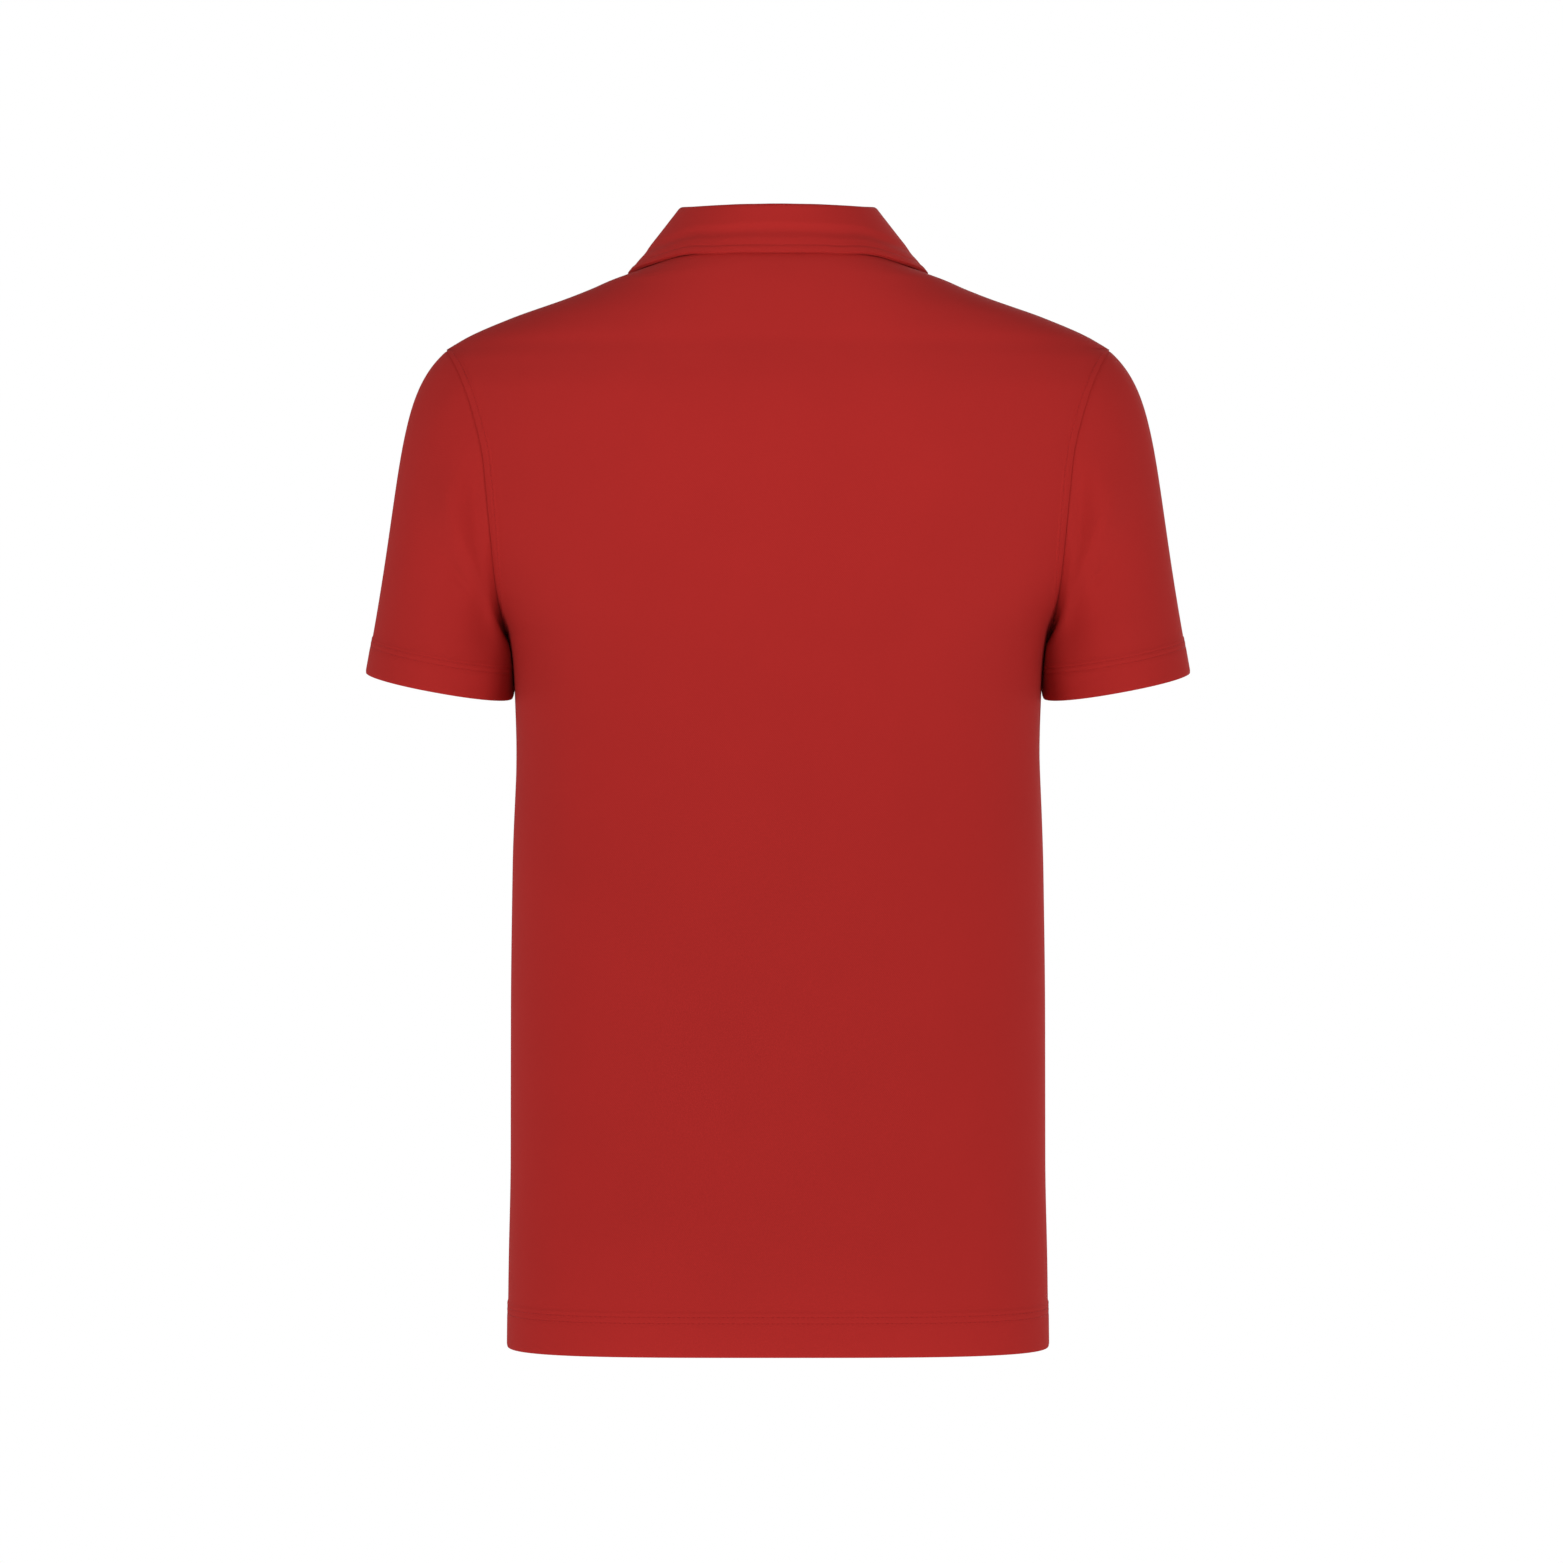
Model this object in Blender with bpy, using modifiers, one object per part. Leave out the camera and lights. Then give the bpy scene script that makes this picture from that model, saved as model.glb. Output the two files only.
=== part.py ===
"""A short-sleeved polo shirt in its worn, hollow form.

The wearer faces -Y, +Z is up and +X is the wearer's left. The origin is midway between the two
points where the shoulder seams meet the collar, which is where neck and shoulders carry the shirt.
All sizes are in millimetres until an object is made, which turns them into metres.
"""

import math

import bmesh
import bpy
import numpy as np
from mathutils import Vector

MM = 0.001
MERGE = 0.00001
SLOPE_STEP = 0.02
HALVINGS = 50
CLEAR_ROUNDS = 6
CURVE_STEPS = 400
SHARP_ANGLE = 40.0

# Cloth
WALL = 1.6
SEAM_GAP = 0.3
HEM_WALL = 2.6
HEM_PROUD = 0.5
HEM_STEP = 2.0

# Levels of the body, measured from the origin
HEM_LEVEL = -719.0
UNDERARM_LEVEL = -250.0
SHOULDER_LEVEL = -59.0
BODY_HEM_DEPTH = 28.0

# Grid of the panels
SIDE_ROWS = 11
ARM_ROWS = 14
SHOULDER_ROWS = 8
NECK_ROW_YS = (-27.0, -19.0, -10.0)
HALF_COLUMNS = 9
STRIP_COLUMNS = 2

# Neck opening, seen from above, and how the back climbs to the neck behind it
NECK_HALF_WIDTH = 72.0
NECK_FRONT = 80.0
NAPE = 58.0
NAPE_RISE = 6.0
NAPE_HALF_WIDTH = 90.0
NAPE_REACH = 38.0

# Front fastening: the slot in the front, counted in rows of the armhole
SLOT_HALF_WIDTH = 15.0
SLOT_FOOT_ROW = 4
NECK_FRONT_ROW = 12
TOP_STRIP_PROUD = 0.9
STRIP_WALL = 1.4
UNDER_STRIP_HALF_WIDTH = 17.0
UNDER_STRIP_DEPTH = 2.1
UNDER_STRIP_DROP = 2.0
BUTTON_DROPS = (14.0, 62.0, 110.0)
BUTTON_SIDES = 24
BUTTON_COLUMNS = ("radius", "height")
BUTTON = (
    (0.0, 1.7),
    (3.75, 1.7),
    (4.45, 2.6),
    (5.25, 2.6),
    (5.75, 1.9),
    (5.75, 0.7),
    (4.95, 0.0),
    (0.0, 0.0),
)

# Sleeve
CUFF_CENTRE = (227.6, -6.0, -281.0)
CUFF_HALF_WIDTH = 47.5
CUFF_HALF_DEPTH = 61.0
CUFF_ROUNDNESS = 2.2
CUFF_OUTWARD_TILT = 9.6
CUFF_FORWARD_TILT = 5.5
SLEEVE_HEM_DEPTH = 23.0
SLEEVE_ROWS = 11
SLEEVE_CLEARANCE = 1.4

# Collar
COLLAR_WALL = 1.8
COLLAR_FOLD_RADIUS = 2.4
COLLAR_END_HALF_GAP = 3.0
COLLAR_CLEARANCE = 1.0
COLLAR_CLEAR_BELOW = 8.0
NECK_MIDDLE = -8.0
STAND_STEPS = 3
FOLD_STEPS = 5
FALL_STEPS = 5

# The general figure that the panels lie on. A level's section is rounded behind and in front by its
# own power: 2 is an ellipse, and more is squarer.
FIGURE_COLUMNS = ("level", "half_width", "behind", "in_front", "round_behind", "round_front")
FIGURE = (
    (0.0, 72.0, 58.0, 46.0, 2.0, 2.0),
    (-2.0, 78.0, 63.5, 47.4, 3.4, 2.0),
    (-5.0, 87.0, 67.5, 49.5, 3.0, 2.0),
    (-8.6, 98.0, 70.5, 52.0, 2.7, 2.0),
    (-13.8, 113.0, 73.5, 56.5, 2.5, 2.0),
    (-18.9, 125.0, 76.0, 59.5, 2.35, 2.0),
    (-24.7, 140.0, 78.5, 63.0, 2.25, 2.0),
    (-38.5, 179.5, 83.5, 69.5, 2.1, 2.0),
    (-52.0, 210.0, 88.0, 73.5, 2.03, 2.0),
    (-59.0, 220.5, 90.0, 75.7, 2.0, 2.0),
    (-68.0, 231.5, 93.5, 78.6, 2.0, 2.0),
    (-88.0, 243.0, 100.0, 86.5, 2.05, 2.05),
    (-116.0, 246.0, 105.5, 97.5, 2.1, 2.1),
    (-156.0, 235.0, 110.0, 108.0, 2.2, 2.2),
    (-205.0, 206.0, 112.5, 115.5, 2.4, 2.4),
    (-250.0, 180.0, 113.0, 118.0, 2.55, 2.5),
    (-268.0, 177.0, 112.8, 118.3, 2.6, 2.55),
    (-290.0, 175.5, 112.5, 118.5, 2.65, 2.6),
    (-326.0, 174.5, 111.5, 118.0, 2.75, 2.7),
    (-406.0, 176.5, 109.0, 116.0, 2.9, 2.8),
    (-506.0, 177.5, 108.0, 114.0, 3.1, 3.0),
    (-596.0, 177.5, 109.0, 113.0, 3.3, 3.15),
    (-666.0, 178.7, 110.0, 112.5, 3.5, 3.3),
    (-719.0, 179.3, 110.5, 112.0, 3.6, 3.4),
)

# The armhole edge of each panel
ARMHOLE_COLUMNS = ("level", "behind", "in_front")
ARMHOLE = (
    (-59.0, 220.5, 220.5),
    (-70.0, 213.5, 212.5),
    (-85.0, 206.5, 204.0),
    (-109.0, 198.5, 194.5),
    (-133.0, 193.0, 188.0),
    (-156.0, 190.5, 184.5),
    (-181.0, 188.3, 182.5),
    (-205.0, 186.3, 181.5),
    (-228.0, 184.0, 181.0),
    (-243.0, 181.5, 180.5),
    (-250.0, 180.0, 180.0),
)

# How the sleeve leaves the armhole, by the share of the way from the underarm up to the shoulder
SLEEVE_SPREAD = 0.10
SLEEVE_COLUMNS = ("share", "outward", "down", "reach_out", "reach_down")
SLEEVE = (
    (0.0, 0.55, 0.85, 0.35, 0.45),
    (0.3, 0.50, 0.85, 0.30, 0.40),
    (0.55, 0.62, 0.78, 0.28, 0.42),
    (0.8, 0.74, 0.68, 0.24, 0.50),
    (1.0, 0.76, 0.65, 0.22, 0.60),
)

# The soft folds of each sleeve: where each is round the sleeve (0 underarm, 0.25 behind, 0.5 on top) and
# along it (0 armhole, 1 cuff), how far it reaches both ways, and how deep it is (below 0 stands out)
FOLD_COLUMNS = ("around", "along", "reach_around", "reach_along", "depth")
FOLDS = (
    (0.235, 0.50, 0.13, 0.24, 3.2),
    (0.300, 0.28, 0.10, 0.22, -1.6),
    (0.790, 0.46, 0.13, 0.26, 2.8),
    (0.720, 0.24, 0.10, 0.20, -1.4),
)

# The collar from centre back (0) to its front end (1): stand height, how far it leans in, in degrees,
# and where the fall's edge would be if no body were under it
COLLAR_COLUMNS = ("around", "stand", "lean", "edge_x", "edge_y", "edge_z")
COLLAR = (
    (0.0, 27.4, 10.0, 0.0, 67.5, 1.0),
    (0.13, 28.8, 10.0, 38.0, 63.5, 1.3),
    (0.26, 32.6, 12.5, 70.5, 49.0, 1.4),
    (0.34, 35.0, 15.5, 88.5, 28.0, -2.5),
    (0.42, 36.4, 17.0, 98.8, -1.0, -6.4),
    (0.55, 32.5, 15.5, 100.2, -38.0, -17.5),
    (0.70, 24.0, 10.0, 89.5, -67.0, -47.0),
    (0.85, 15.5, 8.0, 72.3, -86.8, -88.0),
    (1.0, 9.0, 5.0, 48.5, -101.5, -124.0),
)


def column(table, names, name):
    """One named column of a table, as an array."""
    return np.array([row[names.index(name)] for row in table], float)


def smooth_curve(places, values):
    """A curve through the points that never swings past them, as a function."""
    order = np.argsort(places)
    x, y = np.asarray(places, float)[order], np.asarray(values, float)[order]
    step = np.diff(x)
    slope = np.diff(y) / step
    bend = np.zeros(len(x))
    bend[0], bend[-1] = slope[0], slope[-1]
    for i in range(1, len(x) - 1):
        if slope[i - 1] * slope[i] > 0:
            left, right = 2 * step[i] + step[i - 1], step[i] + 2 * step[i - 1]
            bend[i] = (left + right) / (left / slope[i - 1] + right / slope[i])

    def at(place):
        place = np.clip(place, x[0], x[-1])
        i = np.clip(np.searchsorted(x, place) - 1, 0, len(x) - 2)
        t = (place - x[i]) / step[i]
        return (
            (1 + 2 * t) * (1 - t) ** 2 * y[i]
            + t * (1 - t) ** 2 * step[i] * bend[i]
            + t * t * (3 - 2 * t) * y[i + 1]
            - t * t * (1 - t) * step[i] * bend[i + 1]
        )

    return at


def figure_curve(name):
    """A column of the figure as a function of the level."""
    return smooth_curve(column(FIGURE, FIGURE_COLUMNS, "level"), column(FIGURE, FIGURE_COLUMNS, name))


half_width = figure_curve("half_width")
DEPTH = {+1: figure_curve("behind"), -1: figure_curve("in_front")}
POWER = {+1: figure_curve("round_behind"), -1: figure_curve("round_front")}
ARMHOLE_EDGE = {
    side: smooth_curve(
        column(ARMHOLE, ARMHOLE_COLUMNS, "level"), column(ARMHOLE, ARMHOLE_COLUMNS, name)
    )
    for side, name in ((+1, "behind"), (-1, "in_front"))
}


def unit(vectors):
    """Vectors of length 1."""
    vectors = np.asarray(vectors, float)
    return vectors / np.linalg.norm(vectors, axis=-1, keepdims=True)


def swell(share):
    """1 in the middle of a rise and 0 from its edge on, with no corner anywhere."""
    return (1 - np.clip(share, -1, 1) ** 2) ** 2


def nape(x, y):
    """How much higher the back lies near the neck than its level alone says."""
    return NAPE_RISE * swell(x / NAPE_HALF_WIDTH) * swell((y - NAPE) / NAPE_REACH)


def section(level, side, from_x, to_x, count):
    """count + 1 points along the figure's section, evenly spaced, from one x to another."""
    width, depth, power = half_width(level), DEPTH[side](level), POWER[side](level)
    ends = [math.acos(min(1.0, x / width) ** (power / 2)) for x in (from_x, to_x)]
    turn = np.linspace(*ends, CURVE_STEPS)
    x = width * np.cos(turn) ** (2 / power)
    y = side * depth * np.sin(turn) ** (2 / power)
    x[0], x[-1] = from_x, to_x
    along = np.concatenate([[0], np.cumsum(np.hypot(np.diff(x), np.diff(y)))])
    at = np.linspace(0, along[-1], count + 1)
    x, y = np.interp(at, along, x), np.interp(at, along, y)
    return np.stack([x, y, level + nape(x, y)], 1)


def outside(points, side):
    """How far outside the figure each point is, as a number that is 0 on it."""
    x, y, z = np.moveaxis(np.asarray(points, float), -1, 0)
    z = z - nape(x, y)
    power = POWER[side](z)
    return (np.abs(x) / half_width(z)) ** power + (np.abs(y) / DEPTH[side](z)) ** power - 1


def slopes(points, side):
    """How fast outside() grows along X, Y and Z at each point."""
    steps = SLOPE_STEP * np.eye(3)
    rises = [outside(points + step, side) - outside(points - step, side) for step in steps]
    return np.stack(rises, -1) / (2 * SLOPE_STEP)


def outward(points, side):
    """The figure's outward direction at each point."""
    return unit(slopes(np.asarray(points, float), side))


def kept_clear(points, distance):
    """Points no nearer to the figure than a distance; those that are nearer move straight out."""
    points = np.array(points, float)
    for point in points:
        side = +1 if point[1] >= 0 else -1
        for _ in range(CLEAR_ROUNDS):
            slope = slopes(point, side)
            away = outside(point, side) / np.linalg.norm(slope)
            if away < distance:
                point += unit(slope) * (distance - away)
    return points


def body_height(x, y):
    """The level at which the upper body lies under a point seen from above."""
    side = +1 if y >= 0 else -1
    low, high = UNDERARM_LEVEL, NAPE_RISE
    for _ in range(HALVINGS):
        middle = (low + high) / 2
        if outside((x, y, middle), side) > 0:
            high = middle
        else:
            low = middle
    return (low + high) / 2


def neckline_x(level):
    """Where the front's section at a level crosses the neck opening."""
    low, high = 0.0, NECK_HALF_WIDTH
    width, depth, power = half_width(level), DEPTH[-1](level), POWER[-1](level)
    for _ in range(HALVINGS):
        middle = (low + high) / 2
        body = depth * (1 - (middle / width) ** power) ** (1 / power)
        neck = NECK_FRONT * math.sqrt(1 - (middle / NECK_HALF_WIDTH) ** 2)
        if body < neck:
            low = middle
        else:
            high = middle
    return (low + high) / 2


def side_levels():
    """Levels from the hem to the underarm, with the step at the hem's top edge."""
    hem_top = HEM_LEVEL + BODY_HEM_DEPTH
    above = np.linspace(hem_top + HEM_STEP, UNDERARM_LEVEL, SIDE_ROWS)
    return [HEM_LEVEL, HEM_LEVEL + BODY_HEM_DEPTH / 2, hem_top, *above]


def arm_levels():
    """Levels from the underarm to the shoulder, close together at both ends."""
    middle, reach = (UNDERARM_LEVEL + SHOULDER_LEVEL) / 2, (SHOULDER_LEVEL - UNDERARM_LEVEL) / 2
    return [middle - reach * math.cos(math.pi * i / ARM_ROWS) for i in range(ARM_ROWS + 1)]


def shoulder_levels():
    """Levels from the shoulder to the neck, even along the shoulder seam, then round the neckline."""
    fine = np.linspace(SHOULDER_LEVEL, 0, CURVE_STEPS)
    widths = half_width(fine)
    at = np.linspace(widths[0], widths[-1], SHOULDER_ROWS + 1)[:-1]
    round_the_neck = [
        body_height(NECK_HALF_WIDTH * math.sqrt(1 - (y / NECK_FRONT) ** 2), y) for y in NECK_ROW_YS
    ]
    return [*np.interp(-at, -widths, fine), *round_the_neck, 0.0]


SIDE_LEVELS = side_levels()
ARM_LEVELS = arm_levels()
LEVELS = SIDE_LEVELS + ARM_LEVELS[1:] + shoulder_levels()[1:]
UNDERARM_ROW = len(SIDE_LEVELS) - 1
SHOULDER_ROW = UNDERARM_ROW + ARM_ROWS
HEM_ROW = 2
SLOT_FOOT = UNDERARM_ROW + SLOT_FOOT_ROW
NECK_ROW = UNDERARM_ROW + NECK_FRONT_ROW


def edge_x(row, side):
    """The x of a panel's outer edge: side seam, then armhole, then shoulder seam."""
    if UNDERARM_ROW < row < SHOULDER_ROW:
        return float(ARMHOLE_EDGE[side](LEVELS[row]))
    return float(half_width(LEVELS[row]))


def inner_x(row):
    """The x where the front's columns start: the slot's edge, then the neckline."""
    return SLOT_HALF_WIDTH if row <= NECK_ROW else neckline_x(LEVELS[row])


def panel_rows(side):
    """Half of a panel, from its middle to its outer edge, row by row from the hem up."""
    rows = []
    for row, level in enumerate(LEVELS):
        if side < 0 and row > NECK_ROW:
            start = inner_x(row)
            points = section(level, side, start, edge_x(row, side), HALF_COLUMNS)
        else:
            strip = section(level, side, 0.0, SLOT_HALF_WIDTH, STRIP_COLUMNS)[:-1]
            rest = section(level, side, SLOT_HALF_WIDTH, edge_x(row, side), HALF_COLUMNS)
            points = np.concatenate([strip, rest])
        rows.append(points)
    return rows


def mirrored(points):
    """Points on the wearer's other side."""
    return np.asarray(points) * (-1, 1, 1)


def new_object(name, vertices, faces, material):
    """A mesh object in metres, from points in millimetres."""
    mesh = bpy.data.meshes.new(name)
    mesh.from_pydata([tuple(v) for v in np.asarray(vertices) * MM], [], faces)
    surface = bmesh.new()
    surface.from_mesh(mesh)
    bmesh.ops.remove_doubles(surface, verts=surface.verts, dist=MERGE)
    surface.to_mesh(mesh)
    surface.free()
    mesh.polygons.foreach_set("use_smooth", [True] * len(mesh.polygons))
    mesh.set_sharp_from_angle(angle=math.radians(SHARP_ANGLE))
    mesh.materials.append(material)
    thing = bpy.data.objects.new(name, mesh)
    PARTS.objects.link(thing)
    return thing


def wall(name, outer, inner, quads, material):
    """A cloth wall: the outer points, the inner ones, and a rim wherever the quads end."""
    count = len(outer)
    faces = quads + [tuple(count + i for i in reversed(quad)) for quad in quads]
    edges = {edge for quad in quads for edge in zip(quad, quad[1:] + quad[:1])}
    rim = sorted(edge for edge in edges if edge[::-1] not in edges)
    faces += [(b, a, count + a, count + b) for a, b in rim]
    used = sorted({i for face in faces for i in face})
    place = {old: new for new, old in enumerate(used)}
    vertices = np.concatenate([outer, inner])[used]
    return new_object(name, vertices, [tuple(place[i] for i in face) for face in faces], material)


def sheet_quads(rows, columns, closed=False):
    """Quads over a grid of points counted row by row; a closed grid's last column meets its first."""
    last = columns if closed else columns - 1
    return [
        (
            row * columns + i,
            row * columns + (i + 1) % columns,
            (row + 1) * columns + (i + 1) % columns,
            (row + 1) * columns + i,
        )
        for row in range(rows - 1)
        for i in range(last)
    ]


def panel(name, side, material):
    """The back or the front, from the wearer's right to the left, its slot and neck left open."""
    outer, inner, numbers = [], [], []
    for row, points in enumerate(panel_rows(side)):
        normals = outward(points, side)
        points[-1] -= unit(points[-1] - points[-2]) * SEAM_GAP / 2
        hem = row <= HEM_ROW
        points = points + normals * (HEM_PROUD if hem else 0.0)
        behind = points - normals * (HEM_WALL if hem else WALL)
        shared = 0 if side < 0 and row > NECK_ROW else 1
        numbers.append(range(len(outer), len(outer) + 2 * len(points) - shared))
        outer.extend([*mirrored(points[::-1]), *points[shared:]])
        inner.extend([*mirrored(behind[::-1]), *behind[shared:]])
    quads = []
    for row, (low, high) in enumerate(zip(numbers, numbers[1:])):
        open_in_front = side < 0 and row >= SLOT_FOOT
        kept = HALF_COLUMNS + 1
        spans = [(low[:kept], high[:kept]), (low[-kept:], high[-kept:])] if open_in_front else [(low, high)]
        for below, above in spans:
            quads += [
                (below[i], below[i + 1], above[i + 1], above[i])[::-side] for i in range(len(below) - 1)
            ]
    return wall(name, np.array(outer), np.array(inner), quads, material)


def armhole_loop():
    """The left armhole's points and the body's outward direction: up the back and down the front."""
    places = [(row, +1) for row in range(UNDERARM_ROW, SHOULDER_ROW + 1)]
    places += [(row, -1) for row in range(SHOULDER_ROW - 1, UNDERARM_ROW, -1)]
    points = [section(LEVELS[row], side, 0.0, edge_x(row, side), 1)[-1] for row, side in places]
    normals = [outward(point, side) for point, (_, side) in zip(points, places)]
    return np.array(points), np.array(normals)


def cuff_axes():
    """The sleeve's direction at the cuff, and the cuff's own two directions across."""
    out, forward = math.radians(CUFF_OUTWARD_TILT), math.radians(CUFF_FORWARD_TILT)
    down = unit((math.sin(out), -math.sin(forward), -math.cos(out)))
    across = unit(np.cross((0, 1, 0), -down))
    back = np.cross(-down, across)
    return down, across, back


def cuff_ring(shares, lift):
    """The cuff's outline at shares of the way round from its inner point, lift above its edge."""
    down, across, back = cuff_axes()
    turn = np.linspace(0, 2 * math.pi, CURVE_STEPS)
    power = 2 / CUFF_ROUNDNESS
    x = -CUFF_HALF_WIDTH * np.sign(np.cos(turn)) * np.abs(np.cos(turn)) ** power
    y = CUFF_HALF_DEPTH * np.sign(np.sin(turn)) * np.abs(np.sin(turn)) ** power
    along = np.concatenate([[0], np.cumsum(np.hypot(np.diff(x), np.diff(y)))])
    at = np.asarray(shares) * along[-1]
    ring = np.outer(np.interp(at, along, x), across) + np.outer(np.interp(at, along, y), back)
    return np.array(CUFF_CENTRE) + ring - down * lift


def sleeve_curve(name):
    """A column of the sleeve's table as a function of the share of the way up."""
    return smooth_curve(column(SLEEVE, SLEEVE_COLUMNS, "share"), column(SLEEVE, SLEEVE_COLUMNS, name))


def loop_shares(loop):
    """How far round the armhole each point is: 0 at the underarm, a half at the shoulder."""
    step = np.linalg.norm(np.diff(np.vstack([loop, loop[:1]]), axis=0), axis=1)
    share = np.concatenate([[0], np.cumsum(step)])[:-1] / step.sum()
    top = share[int(np.argmax(loop[:, 2]))]
    return np.where(share <= top, 0.5 * share / top, 0.5 + 0.5 * (share - top) / (1 - top))


def fold_depth(around, along):
    """How deep the sleeve's folds are at places round and along it."""
    return sum(
        depth * swell((around - at) / reach) * swell((along - place) / length)
        for at, place, reach, length, depth in FOLDS
    )


def sleeve_rings(loop, shares):
    """Rings from the armhole to the cuff; the last three are the hem."""
    up = 1 - np.abs(1 - 2 * shares)
    target = cuff_ring(shares, SLEEVE_HEM_DEPTH + HEM_STEP)
    down = cuff_axes()[0]
    spread = SLEEVE_SPREAD * np.sin(2 * math.pi * shares)
    start = unit(np.stack([sleeve_curve("outward")(up), spread, -sleeve_curve("down")(up)], 1))
    length = np.linalg.norm(target - loop, axis=1)[:, None]
    first = loop + start * length * sleeve_curve("reach_out")(up)[:, None]
    second = target - down * length * sleeve_curve("reach_down")(up)[:, None]
    begin = loop + start * SEAM_GAP
    rings = [
        (1 - t) ** 3 * begin + 3 * t * (1 - t) ** 2 * first + 3 * t * t * (1 - t) * second + t**3 * target
        for t in np.linspace(0, 1, SLEEVE_ROWS)
    ]
    rings += [cuff_ring(shares, lift) for lift in (SLEEVE_HEM_DEPTH, SLEEVE_HEM_DEPTH / 2, 0.0)]
    return np.array(rings)


def grid_normals(grid, closed):
    """Directions square to a grid of rows and columns; a closed grid's columns run round."""
    along = np.gradient(grid, axis=0)
    if closed:
        across = np.roll(grid, -1, axis=1) - np.roll(grid, 1, axis=1)
    else:
        across = np.gradient(grid, axis=1)
    return unit(np.cross(across, along))


def sleeve(name, mirror, material):
    """A set-in sleeve: a tube from the armhole's own points to the cuff, its hem thicker."""
    loop, body_normals = armhole_loop()
    shares = loop_shares(loop)
    rings = sleeve_rings(loop, shares)
    rows, columns = rings.shape[:2]
    normals = grid_normals(rings, closed=True)
    leaving = unit(rings[1] - rings[0])
    closing = np.sum((body_normals - normals[0]) * leaving, axis=1) < 0
    normals[0][closing] = body_normals[closing]
    hem = (np.arange(rows) >= SLEEVE_ROWS)[:, None, None]
    along = np.linspace(0, 1, rows)[:, None]
    depth = fold_depth(shares[None, :], along)[..., None]
    outer = rings + normals * (np.where(hem, HEM_PROUD, 0.0) - depth)
    below = outer[..., 2] < UNDERARM_LEVEL
    outer[below] = kept_clear(outer[below], SLEEVE_CLEARANCE)
    inner = outer - normals * np.where(hem, HEM_WALL, WALL)
    quads = sheet_quads(rows, columns, closed=True)
    outer, inner = outer.reshape(-1, 3), inner.reshape(-1, 3)
    if mirror:
        outer, inner = mirrored(outer), mirrored(inner)
        quads = [quad[::-1] for quad in quads]
    return wall(name, outer, inner, quads, material)


def half_neckline():
    """The neck opening's edge from centre back to the collar's front end, on the wearer's left."""
    back = section(0.0, +1, 0.0, SLOT_HALF_WIDTH, STRIP_COLUMNS)[:-1]
    back = np.concatenate(
        [back, section(0.0, +1, SLOT_HALF_WIDTH, NECK_HALF_WIDTH, HALF_COLUMNS)]
    )
    front = [
        section(LEVELS[row], -1, inner_x(row), edge_x(row, -1), HALF_COLUMNS)[0]
        for row in range(len(LEVELS) - 2, NECK_ROW - 1, -1)
    ]
    level = LEVELS[NECK_ROW]
    over_strip = section(level, -1, COLLAR_END_HALF_GAP, SLOT_HALF_WIDTH, STRIP_COLUMNS)[:-1][::-1]
    return np.concatenate([back, front, over_strip])


def collar_curve(name):
    """A column of the collar's table as a function of the share of the way round."""
    return smooth_curve(column(COLLAR, COLLAR_COLUMNS, "around"), column(COLLAR, COLLAR_COLUMNS, name))


def rounded_fold(base, centre, edge):
    """The collar's path from its base up to the fold, round its centre, and down to the fall's edge."""
    across = unit(edge - base)
    up = unit((centre - base) - across * ((centre - base) @ across))
    middle = np.array([(centre - base) @ across, (centre - base) @ up])
    ends = []
    for foot, turned in (((0.0, 0.0), +1), ((float((edge - base) @ across), 0.0), -1)):
        reach = middle - foot
        far = math.hypot(*reach)
        angle = math.atan2(reach[1], reach[0]) + turned * math.asin(COLLAR_FOLD_RADIUS / far)
        length = math.sqrt(far**2 - COLLAR_FOLD_RADIUS**2)
        ends.append(np.array(foot) + length * np.array([math.cos(angle), math.sin(angle)]))
    leave, arrive = ends
    path = [leave * i / STAND_STEPS for i in range(STAND_STEPS)]
    begin, end = (math.atan2(*(point - middle)[::-1]) for point in (leave, arrive))
    if begin < end:
        begin += 2 * math.pi
    for angle in np.linspace(begin, end, FOLD_STEPS + 1):
        path.append(middle + COLLAR_FOLD_RADIUS * np.array([math.cos(angle), math.sin(angle)]))
    last = np.array([(edge - base) @ across, 0.0])
    path += [arrive + (last - arrive) * i / FALL_STEPS for i in range(1, FALL_STEPS + 1)]
    return [base + u * across + v * up for u, v in path]


def half_collar():
    """Paths over the collar, from centre back to its front end, on the wearer's left."""
    neckline = half_neckline()
    step = np.linalg.norm(np.diff(neckline, axis=0), axis=1)
    around = np.concatenate([[0], np.cumsum(step)]) / step.sum()
    paths = []
    for share, seam in zip(around, neckline):
        edge = np.array([float(collar_curve(name)(share)) for name in ("edge_x", "edge_y", "edge_z")])
        inwards = unit((-seam[0], NECK_MIDDLE - seam[1], 0.0))
        lean = math.radians(float(collar_curve("lean")(share)))
        rise = float(collar_curve("stand")(share)) - COLLAR_FOLD_RADIUS
        base = seam + (0, 0, SEAM_GAP + COLLAR_WALL / 4) + inwards * COLLAR_WALL / 2
        centre = base + rise * (np.array([0, 0, math.cos(lean)]) + inwards * math.sin(lean))
        centre = centre + unit((edge - base) * (1, 1, 0)) * COLLAR_FOLD_RADIUS
        path = np.array(rounded_fold(base, centre, edge))
        fall = STAND_STEPS + FOLD_STEPS + 1
        low = np.arange(len(path)) >= fall
        low &= path[:, 2] < COLLAR_CLEAR_BELOW
        path[low] = kept_clear(path[low], COLLAR_WALL / 2 + COLLAR_CLEARANCE)
        paths.append(path)
    return np.array(paths)


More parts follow.
